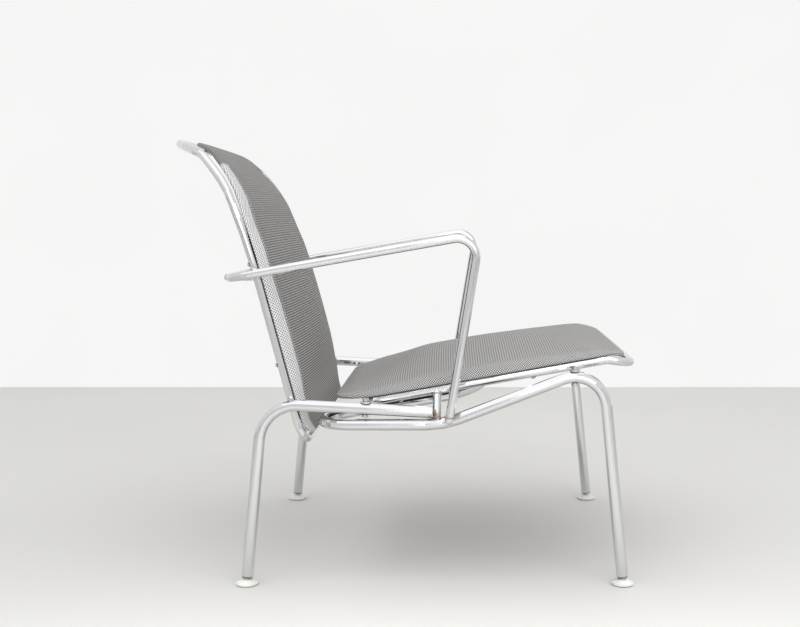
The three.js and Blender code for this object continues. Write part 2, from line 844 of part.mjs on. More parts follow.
let arms = solid(swept(armLine, frameTube));
sides.forEach(([side]) => {
  const cap = new THREE.SphereGeometry(frameTube / 2, tubeSides, tubeSides / 2);
  const lean = rad(postRakeDegrees);
  aimed(cap, at(side * armHalfWidth, armFootY, armFootHeight), at(0, -Math.sin(lean), Math.cos(lean)));
  arms = arms.add(solid(cap));
  const tie = at(side * backHalfWidth, armRearY, armRearHeight);
  arms = arms.subtract(through(tie, yAxis, frameTube, screwHoleDiameter));
});
chair.add(made('arm_hoop', shell(arms), chrome));

// Seat frame with its lugs

const lugReach = baseHalfWidth - seatHalfWidth;
function lugForm() {
  const half = lugWidth / 2;
  const outline = new THREE.Shape();
  outline.moveTo(0, -half);
  outline.lineTo(lugReach, -half);
  outline.absarc(lugReach, 0, half, -Math.PI / 2, Math.PI / 2);
  outline.lineTo(0, half);
  return new THREE.ExtrudeGeometry(outline, {
    depth: lugThickness,
    bevelEnabled: false,
    curveSegments: smallSides / 2,
  });
}

// The room that the seat board and pad take over the frame, which the lugs stay under.
const seatRoom = { ...grown(seatPad, clearance), lowCorner: 0, highCorner: 0 };
const seatRoomBody = solid(laid(
  seatTopLine,
  rowsOf(seatRoom.low, seatRoom.high, seatTopLine.marks, []),
  seatRoom,
  flatShares,
  () => lugThickness + overrun,
  -clearance,
));

function lugAt(side, seat, pitch) {
  const plate = lugForm();
  if (side < 0) plate.rotateZ(Math.PI);
  plate.rotateX(pitch);
  plate.translate(side * seatHalfWidth, seat.y, seat.z);
  return solid(plate).subtract(seatRoomBody);
}

let seatFrame = solid(swept(seatLine, frameTube, true));
sides.forEach(([side]) => {
  const rearBolt = rearBoltAxis(side);
  const frontBolt = frontBoltAxis(side);
  seatFrame = seatFrame
    .add(lugAt(side, rearLugSeat, rad(rearRunPitchDegrees)))
    .add(lugAt(side, frontLugSeat, 0))
    .subtract(through(rearBolt.place, rearBolt.up, overrun, boltHoleDiameter))
    .subtract(through(frontBolt.place, frontBolt.up, overrun, boltHoleDiameter));
  seatBoardScrewYs.forEach((y) => {
    const hole = through(seatScrewAt(side, y), seatUp, frameTube, boardScrewHole, screwSides);
    seatFrame = seatFrame.subtract(hole);
  });
});
chair.add(made('seat_frame', shell(seatFrame), chrome));

// Back frame

let backFrame = solid(swept(backLine, frameTube, true));
sides.forEach(([side]) => {
  backFrame = backFrame.subtract(through(mountAt(side, backHalfWidth), xAxis, frameTube, screwHoleDiameter));
  const tie = at(side * backHalfWidth, armTieY, armRearHeight);
  const pit = tie.clone().addScaledVector(yAxis, -screwPitDepth);
  const rear = tie.clone().addScaledVector(yAxis, frameTube);
  backFrame = backFrame.subtract(solid(bar(pit, rear, screwHoleDiameter, smallSides)));
  backBoardScrewRises.forEach((rise) => {
    const hole = through(backScrewAt(side, rise), backFront, frameTube, boardScrewHole, screwSides);
    backFrame = backFrame.subtract(hole);
  });
});
chair.add(made('back_frame', shell(backFrame), chrome));

// Stays, with their ends cut to the tubes that they meet

sides.forEach(([side, letter]) => {
  const foot = stayFoot(side);
  const head = stayHead(side);
  const lowTube = solid(swept(hoopLine, baseTube + 2 * clearance));
  const highTube = solid(swept(seatLine, frameTube + 2 * clearance, true));
  const stay = solid(bar(foot, head, stayTube, tubeSides)).subtract(lowTube).subtract(highTube);
  chair.add(made(`seat_stay_${letter}`, shell(stay), chrome));
});

// Seat board and pad

let seatBoardBody = solid(boardForm(seatTopLine, seatBoard));
sides.forEach(([side]) => {
  seatBoardScrewYs.forEach((y) => {
    const place = seatScrewAt(side, y).addScaledVector(seatUp, frameTube / 2);
    const pit = place.clone().addScaledVector(seatUp, clearance + boardScrewPit);
    seatBoardBody = seatBoardBody.subtract(solid(bar(place, pit, boardScrewHole, screwSides)));
  });
});
chair.add(made('seat_board', shell(seatBoardBody), ply));

chair.add(made('seat_pad', shell(padForm(seatTopLine, seatPad, seatBoard, {
  ridgeInset: seatRidgeInset,
  ridgeHeight: seatRidgeHeight,
  crownHeight: seatCrownHeight,
  crownRun: seatCrownRun,
  riseRun: seatRiseRun,
  fallRun: seatFallRun,
})), weave));

// Back board and pad

const backTopLine = sideLine(backSide, frameTube / 2 + clearance);
const backBoard = {
  low: backBoardTopSetback,
  high: backTopLine.length - backBoardFootSetback,
  half: boardHalfWidth,
  lowCorner: boardHalfWidth,
  highCorner: backBoardFootCorner,
};
const backPad = grown(backBoard, padGrowth);
let backBoardBody = solid(boardForm(backTopLine, backBoard));
sides.forEach(([side]) => {
  backBoardScrewRises.forEach((rise) => {
    const place = backScrewAt(side, rise).addScaledVector(backFront, frameTube / 2);
    const pit = place.clone().addScaledVector(backFront, clearance + boardScrewPit);
    backBoardBody = backBoardBody.subtract(solid(bar(place, pit, boardScrewHole, screwSides)));
  });
});
chair.add(made('back_board', shell(backBoardBody), ply));
chair.add(made('back_pad', shell(padForm(backTopLine, backPad, backBoard, {
  ridgeInset: backRidgeInset,
  ridgeHeight: backRidgeHeight,
  crownHeight: backCrownHeight,
  crownRun: backCrownRun,
  riseRun: backRiseRun,
  fallRun: backFallRun,
})), weave));

// Lug bolts and nuts

// Under the crest the tube is hollow along its length, so the nut stands off by the arc's height.
const crestInner = crestBend - baseTube / 2;
const crestHollow = crestInner - Math.sqrt(crestInner ** 2 - (nutAcross / 2) ** 2);
const boltLength = lugThickness + baseTube + 3 * clearance + nutHeight + boltTail;
sides.forEach(([side, letter]) => {
  const ends = [['rear', rearBoltAxis(side), 0], ['front', frontBoltAxis(side), crestHollow]];
  ends.forEach(([end, { place, up }, hollow]) => {
    const down = up.clone().negate();
    const head = place.clone().addScaledVector(up, lugThickness + clearance);
    const nut = place.clone().addScaledVector(down, baseTube + 2 * clearance + hollow);
    chair.add(aim(made(`lug_bolt_${end}_${letter}`, boltForm(boltLength), zinc), head, down));
    chair.add(aim(made(`lug_nut_${end}_${letter}`, nutForm(), zinc), nut, down));
  });
});

// Back spacers with their screws, across from the back frame to the rear legs

function spacerForm(length) {
  return turned([
    [spacerHole / 2, 0],
    [spacerDiameter / 2, 0],
    [spacerDiameter / 2, length],
    [spacerHole / 2, length],
    [spacerHole / 2, 0],
  ], smallSides);
}

const backGapLength = baseHalfWidth - baseTube / 2 - backHalfWidth - frameTube / 2;
sides.forEach(([side, letter]) => {
  const out = at(side, 0, 0);
  const start = mountAt(side, backHalfWidth + frameTube / 2 + clearance);
  const spacer = spacerForm(backGapLength - 2 * clearance);
  chair.add(aim(made(`back_spacer_${letter}`, outward(spacer), chrome), start, out));
  const seat = mountAt(side, backHalfWidth - frameTube / 2 - clearance);
  const length = frameTube + backGapLength + clearance + baseTube / 2 + screwTip;
  const screw = screwForm(
    screwDiameter, length, screwHeadDiameter, screwHeadHeight, screwHeadEdge, smallSides);
  chair.add(aim(made(`back_screw_${letter}`, outward(screw), zinc), seat, out));
});

// Arm spacers with their screws, from the arm hoop's crossing to the back frame

sides.forEach(([side, letter]) => {
  const ahead = at(0, -1, 0);
  const tie = at(side * backHalfWidth, armRearY, armRearHeight);
  const from = tie.clone().addScaledVector(ahead, frameTube / 2);
  const to = tie.clone().addScaledVector(ahead, armStandoff);
  const ring = solid(aimed(spacerForm(armStandoff), tie, ahead))
    .subtract(solid(swept(armLine, frameTube + 2 * clearance)))
    .subtract(solid(swept(backLine, frameTube + 2 * clearance, true)));
  chair.add(made(`arm_spacer_${letter}`, shell(ring), chrome));
  const seat = tie.clone().addScaledVector(ahead, -frameTube / 2 - clearance);
  const length = from.distanceTo(to) + frameTube + clearance + screwTip;
  const screw = screwForm(
    screwDiameter, length, screwHeadDiameter, screwHeadHeight, screwHeadEdge, smallSides);
  chair.add(aim(made(`arm_screw_${letter}`, outward(screw), zinc), seat, ahead));
});

// Board screws

const boardScrew = () => outward(screwForm(
  boardScrewDiameter,
  frameTube + 2 * clearance + boardScrewBite,
  boardScrewHeadDiameter,
  boardScrewHeadHeight,
  boardScrewHeadEdge,
  screwSides,
));
sides.forEach(([side, letter]) => {
  seatBoardScrewYs.forEach((y, i) => {
    const seat = seatScrewAt(side, y).addScaledVector(seatUp, -frameTube / 2 - clearance);
    chair.add(aim(made(`seat_screw_${letter}${i + 1}`, boardScrew(), zinc), seat, seatUp));
  });
  backBoardScrewRises.forEach((rise, i) => {
    const seat = backScrewAt(side, rise).addScaledVector(backFront, -frameTube / 2 - clearance);
    chair.add(aim(made(`rest_screw_${letter}${i + 1}`, boardScrew(), zinc), seat, backFront));
  });
});

// Feet: each group stands with its zero at the ball

const socketRadius = socketDiameter / 2;
const lipRadius = Math.sqrt(socketRadius ** 2 - socketLipRise ** 2);
const lipAngle = Math.asin(socketLipRise / socketRadius);

function arc(radius, fromAngle, toAngle, steps) {
  const points = [];
  for (let i = 0; i <= steps; i += 1) {
    const angle = fromAngle + (toAngle - fromAngle) * i / steps;
    points.push([Math.max(radius * Math.cos(angle), 0), radius * Math.sin(angle)]);
  }
  return points;
}

function discForm() {
  const radius = discDiameter / 2;
  return turned([
    [0, -ballHeight],
    [radius - discEdgeBevel, -ballHeight],
    [radius, discEdgeBevel - ballHeight],
    [radius, discEdgeHeight - ballHeight],
    [discDomeRadius, discDomeHeight - ballHeight],
    [lipRadius + socketRimWidth, socketLipRise],
    [lipRadius, socketLipRise],
    ...arc(socketRadius, lipAngle, -Math.PI / 2, ballSteps).slice(1, -1),
    [0, -socketRadius],
  ], discSides);
}

const ballToEnd = (tubeEndHeight - ballHeight) / Math.cos(rad(legRakeDegrees));

function stemForm() {
  const radius = ballDiameter / 2;
  const neckAngle = Math.acos(stemDiameter / ballDiameter);
  const top = ballToEnd + stemReach;
  return turned([
    [0, -radius],
    ...arc(radius, -Math.PI / 2, neckAngle, ballSteps).slice(1),
    [stemDiameter / 2, top],
    [0, top],
  ], smallSides);
}

function insertForm() {
  const body = tubeBore / 2 - insertClearance;
  const low = -clearance - insertFlange;
  return turned([
    [0, stemHoleDepth],
    [stemHoleDiameter / 2, stemHoleDepth],
    [stemHoleDiameter / 2, low],
    [insertFlangeDiameter / 2, low],
    [insertFlangeDiameter / 2, -clearance],
    [body, -clearance],
    [body, insertLength],
    [0, insertLength],
  ], tubeSides);
}

[['front', -1], ['rear', 1]].forEach(([end, way]) => {
  sides.forEach(([side, letter]) => {
    const foot = new THREE.Group();
    foot.position.set(
      side * baseHalfWidth,
      way * (footHalfLength - ballHeight * legLean),
      ballHeight,
    );
    const disc = made(`glide_disc_${end}_${letter}`, outward(discForm()), white);
    disc.rotation.x = Math.PI / 2;
    const leg = new THREE.Group();
    leg.rotation.x = Math.PI / 2 + way * rad(legRakeDegrees);
    const stem = made(`glide_stem_${end}_${letter}`, outward(stemForm()), white);
    const insert = made(`foot_insert_${end}_${letter}`, outward(insertForm()), grey);
    insert.position.y = ballToEnd;
    leg.add(stem, insert);
    foot.add(disc, leg);
    chair.add(foot);
  });
});

// The origin is under the middle of the chair's box, on the floor
chair.updateMatrixWorld(true);
const box = new THREE.Box3().setFromObject(chair);
const middle = box.getCenter(at(0, 0, 0));
chair.position.set(-middle.x, -middle.y, -box.min.z);

export default chair;
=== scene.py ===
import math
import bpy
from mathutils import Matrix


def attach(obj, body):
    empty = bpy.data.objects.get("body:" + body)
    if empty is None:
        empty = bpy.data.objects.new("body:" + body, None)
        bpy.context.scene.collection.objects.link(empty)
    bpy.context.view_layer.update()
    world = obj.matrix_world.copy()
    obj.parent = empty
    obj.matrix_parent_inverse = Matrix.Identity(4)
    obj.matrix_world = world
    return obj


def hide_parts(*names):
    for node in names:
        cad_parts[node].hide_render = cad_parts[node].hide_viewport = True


bl_info = {
    "name": "Tube lounge chair dressing",
    "version": (1, 0, 0),
    "blender": (4, 5, 0),
    "location": "View3D > Sidebar > Lounge Chair",
    "description": "Padded fabric, seams, welds, finishes and a pale studio for a bent tube lounge chair",
    "category": "Object",
}

from collections import namedtuple

import bmesh
import bpy
import numpy as np
from mathutils import Matrix, Vector
from mathutils.bvhtree import BVHTree

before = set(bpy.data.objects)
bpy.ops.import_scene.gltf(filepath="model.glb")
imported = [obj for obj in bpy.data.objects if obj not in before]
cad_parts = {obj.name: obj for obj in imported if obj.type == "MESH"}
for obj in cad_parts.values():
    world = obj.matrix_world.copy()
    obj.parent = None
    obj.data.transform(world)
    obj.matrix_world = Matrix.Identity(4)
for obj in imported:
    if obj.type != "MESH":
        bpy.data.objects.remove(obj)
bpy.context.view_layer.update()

CHAIR = "chair"

# The side line of each pad: its corners as (Y, Z) in metres, and the radius of the bend at each.
# The seat's line runs from its rear to its front, and the back's from its top down.
SEAT_CORNERS = ((0.10985, 0.30166), (-0.36841, 0.38703), (-0.41141, 0.37952))
SEAT_BENDS = (0.0, 0.060, 0.0)
BACK_CORNERS = (
    (0.41141, 0.76963), (0.33933, 0.74254), (0.28878, 0.68946), (0.24910, 0.57801),
    (0.17989, 0.31155), (0.16926, 0.27061), (0.15654, 0.24511),
)
BACK_BENDS = (0.0, 0.042, 0.176, 0.600, 0.0, 0.060, 0.0)
LINE_STEP = 0.002
BEND_STEPS = 12
PAD_LIFT = 0.0078

# Each pad's outline: its start and end along that line, half its width and its corner radii
PAD_HALF = 0.2562
SEAT_OUTLINE = {
    "low": 0.0, "high": 0.5215, "half": PAD_HALF, "low_corner": 0.095, "high_corner": 0.060,
}
BACK_OUTLINE = {
    "low": 0.0217, "high": 0.6164, "half": PAD_HALF, "low_corner": PAD_HALF, "high_corner": 0.0495,
}

# A cover's top: it starts at PAD_EDGE, climbs within "side" of the edge to the ridge and swells
# from there to the crown. Most of the climb is steep, and the rest is a slope to the ridge.
RIDGE_INSET = 0.035
PAD_EDGE = 0.0045
STEEP_CLIMB, SLOPE_CLIMB = 0.85, 0.15
SEAT_SIDE = 0.022
BACK_SIDE = 0.030
SEAT_RISES = {
    "ridge": 0.017, "crown": 0.0365, "run": 0.150, "rise": 0.150, "rise_power": 1.3,
    "fall": 0.280, "fall_power": 1.0, "side": SEAT_SIDE, "soft_end": 0.030, "soft_run": 0.130,
}
BACK_RISES = {
    "ridge": 0.0180, "crown": 0.0300, "run": 0.150, "rise": 0.360, "rise_power": 1.0,
    "fall": 0.150, "fall_power": 1.0, "side": BACK_SIDE, "soft_end": BACK_SIDE, "soft_run": 0.130,
}

# A cover's underside: it folds under the board for FOLD_WIDTH, and then steps up into the board.
# The top keeps BOARD_CLEARANCE off the board, from BOARD_CLEARANCE_RUN in.
FOLD = -0.0004
FOLD_WIDTH = 0.010
FOLD_RUN = 0.004
BOARD_TOP = 0.0034
BOARD_CLEARANCE = 0.0018
BOARD_CLEARANCE_RUN = 0.008

# The filling: the rim of the cover that is held, and how far in it moves freely and lies slack
HELD_RIM = 0.004
FREE_RUN = 0.012
SLACK_RUN = 0.05
HELD_UNDER = 0.02
CLOTH_FRAMES = 20
CLOTH_QUALITY = 5
MERGE_WITHIN = 2e-5

# How far in from the pad's side its border ends: place along the pad, and inset there
SEAT_BORDER = ((0.0, 0.034), (0.5215, 0.034))
BACK_BORDER = ((0.112, 0.044), (0.330, 0.027), (0.6164, 0.030))

# The seams of the back: where they run, how deep they sink, and how they are found on the cover
BACK_SEAM_START = 0.112
BACK_SEAM_END_GAP = 0.010
SEAM_SINK = 0.0004
PIPING_INWARD = 0.0035
PIPING_STEP = 0.004
PIPING_SIDES = 8
STITCH_SEGMENTS, STITCH_RINGS = 8, 5
RAY_START = 0.12
RAY_LENGTH = 0.16

TUBE_NODES = (
    "front_hoop", "rear_leg_R", "rear_leg_L", "arm_hoop", "seat_frame", "back_frame",
    "seat_stay_R", "seat_stay_L", "back_spacer_R", "back_spacer_L", "arm_spacer_R", "arm_spacer_L",
)


# ---------------------------------------------------------------- sizes and colours


class ChairFabric(bpy.types.PropertyGroup):
    row_pitch: bpy.props.FloatProperty(
        name="Row pitch", description="Distance from one row of the weave to the next",
        default=0.0044, min=0.001, unit="LENGTH")
    dark_yarn: bpy.props.FloatVectorProperty(
        name="Dark yarn", description="Colour of the charcoal yarn on the seat's sides",
        subtype="COLOR", size=3, default=(0.030, 0.029, 0.029), min=0, max=1)
    light_yarn: bpy.props.FloatVectorProperty(
        name="Light yarn", description="Colour of the off-white yarn on the seat's sides",
        subtype="COLOR", size=3, default=(0.66, 0.65, 0.64), min=0, max=1)
    cover_columns: bpy.props.IntProperty(
        name="Cover columns", description="Columns of the grid that a cover is cut to",
        default=84, min=20)
    cover_rows: bpy.props.IntProperty(
        name="Cover rows", description="Rows of the grid that a cover is cut to",
        default=118, min=20)
    border_columns: bpy.props.IntProperty(
        name="Border columns", description="Columns of that grid in the border on each side",
        default=4, min=2)
    pressure: bpy.props.FloatProperty(
        name="Filling pressure", description="Pressure of the filling on the cover",
        default=4.0, min=0)
    swell: bpy.props.FloatProperty(
        name="Swell limit", description="Farthest that the filling may push the cover",
        default=0.0035, min=0, unit="LENGTH")
    slack: bpy.props.FloatProperty(
        name="Starting slack", description="How much lower the crown starts before it is filled",
        default=0.0020, min=0, unit="LENGTH")
    stitch_pitch: bpy.props.FloatProperty(
        name="Stitch pitch", description="Distance between two stitches of the back's seams",
        default=0.0052, min=0.002, unit="LENGTH")
    stitch_length: bpy.props.FloatProperty(
        name="Stitch length", description="Length of one stitch of the back's seams",
        default=0.0034, min=0.001, unit="LENGTH")
    stitch_thickness: bpy.props.FloatProperty(
        name="Stitch thickness", description="Thickness of the seams' thread and of the piping",
        default=0.0014, min=0.0003, unit="LENGTH")


class ChairMetal(bpy.types.PropertyGroup):
    plating: bpy.props.FloatVectorProperty(
        name="Plating", description="Colour of the bright plating on the tubes",
        subtype="COLOR", size=3, default=(0.67, 0.675, 0.68), min=0, max=1)
    zinc: bpy.props.FloatVectorProperty(
        name="Zinc", description="Colour of the bolts, nuts and screws",
        subtype="COLOR", size=3, default=(0.56, 0.56, 0.55), min=0, max=1)
    rust: bpy.props.FloatVectorProperty(
        name="Rust", description="Colour of the rust on the tubes and the weld beads",
        subtype="COLOR", size=3, default=(0.19, 0.095, 0.035), min=0, max=1)
    rust_reach: bpy.props.FloatProperty(
        name="Rust reach", description="How far a rusty spot spreads from its middle",
        default=0.011, min=0, unit="LENGTH")
    bead: bpy.props.FloatProperty(
        name="Weld bead", description="Thickness of a weld bead",
        default=0.0030, min=0.0005, unit="LENGTH")


class ChairSmallParts(bpy.types.PropertyGroup):
    glide: bpy.props.FloatVectorProperty(
        name="Glide plastic", description="Colour of the white glides",
        subtype="COLOR", size=3, default=(0.80, 0.80, 0.76), min=0, max=1)
    insert: bpy.props.FloatVectorProperty(
        name="Insert plastic", description="Colour of the inserts in the tube ends",
        subtype="COLOR", size=3, default=(0.025, 0.025, 0.025), min=0, max=1)
    board: bpy.props.FloatVectorProperty(
        name="Board", description="Colour of the stained boards that carry the pads",
        subtype="COLOR", size=3, default=(0.050, 0.035, 0.024), min=0, max=1)


class ChairStage(bpy.types.PropertyGroup):
    floor: bpy.props.FloatVectorProperty(
        name="Floor", description="Colour of the floor",
        subtype="COLOR", size=3, default=(0.68, 0.67, 0.65), min=0, max=1)
    wall: bpy.props.FloatVectorProperty(
        name="Wall", description="Colour of the wall behind the chair",
        subtype="COLOR", size=3, default=(0.93, 0.93, 0.925), min=0, max=1)
    wall_distance: bpy.props.FloatProperty(
        name="Wall distance", description="Distance from the chair's middle to the wall",
        default=1.875, min=0.5, unit="LENGTH")
    camera_place: bpy.props.FloatVectorProperty(
        name="Camera place", description="Where the camera stands",
        subtype="TRANSLATION", size=3, default=(-2.1142, -0.1210, 0.6363))
    camera_pitch: bpy.props.FloatProperty(
        name="Camera pitch", description="How far the camera looks down",
        subtype="ANGLE", default=math.radians(5.187))
    focal_length: bpy.props.FloatProperty(
        name="Focal length", description="Lens, for a film 36 mm wide", default=48.825, min=10)
    sideways_shift: bpy.props.FloatProperty(
        name="Sideways shift", description="Shift of the frame, in frame widths", default=-0.0815)


# ---------------------------------------------------------------- the pads' forms


def bent_line(corners, bends):
    """Points every LINE_STEP along straight runs joined by round bends, and the way at each."""
    points = [Vector(c) for c in corners]
    path = [points[0]]
    for before, at, after, radius in zip(points, points[1:], points[2:], bends[1:]):
        a, b = (before - at).normalized(), (after - at).normalized()
        turn = math.pi - a.angle(b)
        if radius <= 0 or turn < 1e-4:
            path.append(at)
            continue
        reach = radius * math.tan(turn / 2)
        centre = at + (a + b).normalized() * (radius / math.cos(turn / 2))
        start = (at + a * reach - centre).normalized()
        stop = (at + b * reach - centre).normalized()
        for step in range(BEND_STEPS + 1):
            path.append(centre + start.slerp(stop, step / BEND_STEPS) * radius)
    path.append(points[-1])
    path = [p for i, p in enumerate(path) if i == 0 or (p - path[i - 1]).length > 1e-6]
    steps = np.cumsum([0.0] + [(q - p).length for p, q in zip(path, path[1:])])
    at = np.linspace(0.0, steps[-1], int(steps[-1] / LINE_STEP) + 1)
    flat = np.array([tuple(p) for p in path])
    spots = np.stack([np.interp(at, steps, flat[:, 0]), np.interp(at, steps, flat[:, 1])], 1)
    way = np.gradient(spots, axis=0)
    way /= np.linalg.norm(way, axis=1)[:, None]
    return spots, way


class SideLine:
    """The line that a pad lies on, seen from the side, and the face that its cover stands on."""

    def __init__(self, corners, bends):
        self.spots, way = bent_line(corners, bends)
        self.out = np.stack([way[:, 1], -way[:, 0]], 1)
        self.base = self.spots + self.out * PAD_LIFT
        runs = np.linalg.norm(np.diff(self.base, axis=0), axis=1)
        self.at = np.concatenate([[0.0], np.cumsum(runs)])

    def place(self, x, s, height):
        """The points x across, s along and height off the pad's underside, and the ways off it."""
        x, s, height = (np.atleast_1d(np.asarray(item, float)) for item in (x, s, height))
        out = np.stack(
            [np.zeros(len(s))] + [np.interp(s, self.at, self.out[:, k]) for k in (0, 1)], 1)
        out /= np.linalg.norm(out, axis=1)[:, None]
        base = np.stack([x] + [np.interp(s, self.at, self.base[:, k]) for k in (0, 1)], 1)
        return base + out * height[:, None], out


def inset_from(outline, x, s):
    """How far inside a rounded oblong outline each point lies, in metres."""
    x, s = np.abs(np.asarray(x, float)), np.asarray(s, float)
    middle = (outline["low"] + outline["high"]) / 2
    corner = np.where(s < middle, outline["low_corner"], outline["high_corner"])
    end = np.where(s < middle, s - outline["low"], outline["high"] - s)
    side = outline["half"] - x
    deep = np.minimum(side, end)
    round_in = (side < corner) & (end < corner)
    around = corner - np.hypot(corner - side, corner - end)
    return np.where(round_in, around, deep)


def half_width(outline, s):
    """Half the width of a rounded oblong outline at s."""
    low, high = s - outline["low"], outline["high"] - s
    corner = np.where(low < high, outline["low_corner"], outline["high_corner"])
    reach = np.clip(corner - np.minimum(low, high), 0, corner)
    return outline["half"] - corner + np.sqrt(np.maximum(corner ** 2 - reach ** 2, 0))


def border_inset(border, s):
    """How far in from the pad's side its border ends, at s."""
    along, inset = zip(*border)
    return np.interp(s, along, inset)


def seam_run(form, inward, first, last, step):
    """Points (x, s) along one side of a pad, at one distance inward of its border's end."""
    s = np.arange(first, last, step)
    return np.stack([half_width(form.outline, s) - border_inset(form.border, s) - inward, s], 1)


PadForm = namedtuple("PadForm", "line outline rises border")
SEAT_FORM = PadForm(SideLine(SEAT_CORNERS, SEAT_BENDS), SEAT_OUTLINE, SEAT_RISES, SEAT_BORDER)
BACK_FORM = PadForm(SideLine(BACK_CORNERS, BACK_BENDS), BACK_OUTLINE, BACK_RISES, BACK_BORDER)


# ---------------------------------------------------------------- shared ways of working


def new_piece(name, shape, material):
    """A finished bmesh as a smooth object that rides on the chair."""
    mesh = bpy.data.meshes.new(name)
    shape.to_mesh(mesh)
    shape.free()
    mesh.materials.append(material)
    mesh.shade_smooth()
    piece = bpy.data.objects.new(name, mesh)
    bpy.context.scene.collection.objects.link(piece)
    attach(piece, CHAIR)
    return piece


def dress(names, material):
    """One material on several CAD nodes."""
    for name in names:
        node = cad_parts[name]
        node.data.materials.clear()
        node.data.materials.append(material)


class Finish:
    """A node material, built one named node at a time."""

    def __init__(self, name):
        self.material = bpy.data.materials.new(name)
        self.material.use_nodes = True
        self.tree = self.material.node_tree
        self.shader = self.tree.nodes["Principled BSDF"]

    def node(self, kind, label, **values):
        made = self.tree.nodes.new(kind)
        made.label = label
        for key, value in values.items():
            setattr(made, key, value)
        return made

    def feed(self, target, value):
        if isinstance(value, bpy.types.NodeSocket):
            self.tree.links.new(value, target)
        else:
            target.default_value = value

    def math(self, operation, a, b=0.0, c=0.0, label="", clamp=False):
        label = label or operation.lower()
        made = self.node("ShaderNodeMath", label, operation=operation, use_clamp=clamp)
        for socket, value in zip(made.inputs, (a, b, c)):
            self.feed(socket, value)
        return made.outputs[0]

    def blend(self, factor, a, b, label="blend"):
        made = self.node("ShaderNodeMix", label, data_type="RGBA", clamp_factor=True)
        self.feed(made.inputs[0], factor)
        self.feed(made.inputs[6], a)
        self.feed(made.inputs[7], b)
        return made.outputs[2]

    def ramp(self, value, span, out=(0.0, 1.0), label="range"):
        """A soft step from out[0] to out[1], as the value goes from span[0] to span[1]."""
        made = self.node("ShaderNodeMapRange", label, clamp=True, interpolation_type="SMOOTHSTEP")
        for socket, item in zip(made.inputs, (value, *span, *out)):
            self.feed(socket, item)
        return made.outputs[0]

    def noise(self, vector, scale, detail=2.0, roughness=0.5, label="noise"):
        made = self.node("ShaderNodeTexNoise", label)
        self.feed(made.inputs["Vector"], vector)
        made.inputs["Scale"].default_value = scale
        made.inputs["Detail"].default_value = detail
        made.inputs["Roughness"].default_value = roughness
        return made.outputs[0]

    def object_place(self):
        return self.node("ShaderNodeTexCoord", "place on the piece").outputs["Object"]

    def bump(self, height, strength, distance, label="relief"):
        made = self.node("ShaderNodeBump", label)
        made.inputs["Strength"].default_value = strength
        made.inputs["Distance"].default_value = distance
        self.feed(made.inputs["Height"], height)
        self.feed(self.shader.inputs["Normal"], made.outputs[0])

    def set(self, **values):
        for name, value in values.items():
            self.feed(self.shader.inputs[name.replace("_", " ")], value)


def rgba(colour, strength=1.0):
    return (colour[0] * strength, colour[1] * strength, colour[2] * strength, 1.0)


# ---------------------------------------------------------------- fabric


ROW_DRIFT = 0.0008
ROW_CONTRAST_SPAN = (0.15, 0.50)
CHECK_CONTRAST = 0.35
ROW_RELIEF = 0.25
DOT_CONTRAST = 2.4
FIBRE_CONTRAST = 0.30
BORDER_START_RUN = 0.008
SEAM_SHARE = 0.90
SEAM_FADE = (0.04, 0.09)
# Colour of the painted shade in the seam's sunken line, where the cover folds in
PAINTED_SEAM_SHADE = (0.06, 0.055, 0.05)
WORN_CLOTH = (0.26, 0.25, 0.235)

# Each pad's own weave: the shares of the border over which the side's dots end, how light the dots
# are and how close they lie, the contrast of the face's rows at the line's start and end, the
# place where the border starts, and how dark the painted shade in the seam is and how deep it sinks.
SEAT_WEAVE = {
    "side_span": (0.45, 1.2), "side_balance": -0.10, "side_columns": 0.85, "side_rows": 1.0,
    "row_contrast": (0.9, 0.9), "row_balance": 0.0, "border_start": -1.0, "seam_shade_and_depth": 0.0,
}
# The back's side balance leans further to the light yarn than the seat's: painted light on the back's
# border
BACK_WEAVE = {
    "side_span": (1.0, 1.03), "side_balance": 0.40, "side_columns": 0.7, "side_rows": 0.8,
    "row_contrast": (0.5, 1.3), "row_balance": -0.02, "border_start": BACK_SEAM_START,
    "seam_shade_and_depth": 0.75,
}
# Pairs of a dark and a light yarn
SEAT_FACE_YARNS = ((0.16, 0.155, 0.15), (0.42, 0.41, 0.405))
BACK_FACE_YARNS = ((0.055, 0.050, 0.047), (0.36, 0.345, 0.335))
# The back's side yarns are lighter than the seat's: painted light, for the brighter light on the back's
# border
BACK_SIDE_PAINTED_LIGHT_YARNS = ((0.20, 0.195, 0.20), (0.84, 0.835, 0.84))
STITCH_YARN = (0.03, 0.03, 0.03)
PIPING_YARN = (0.30, 0.29, 0.28)


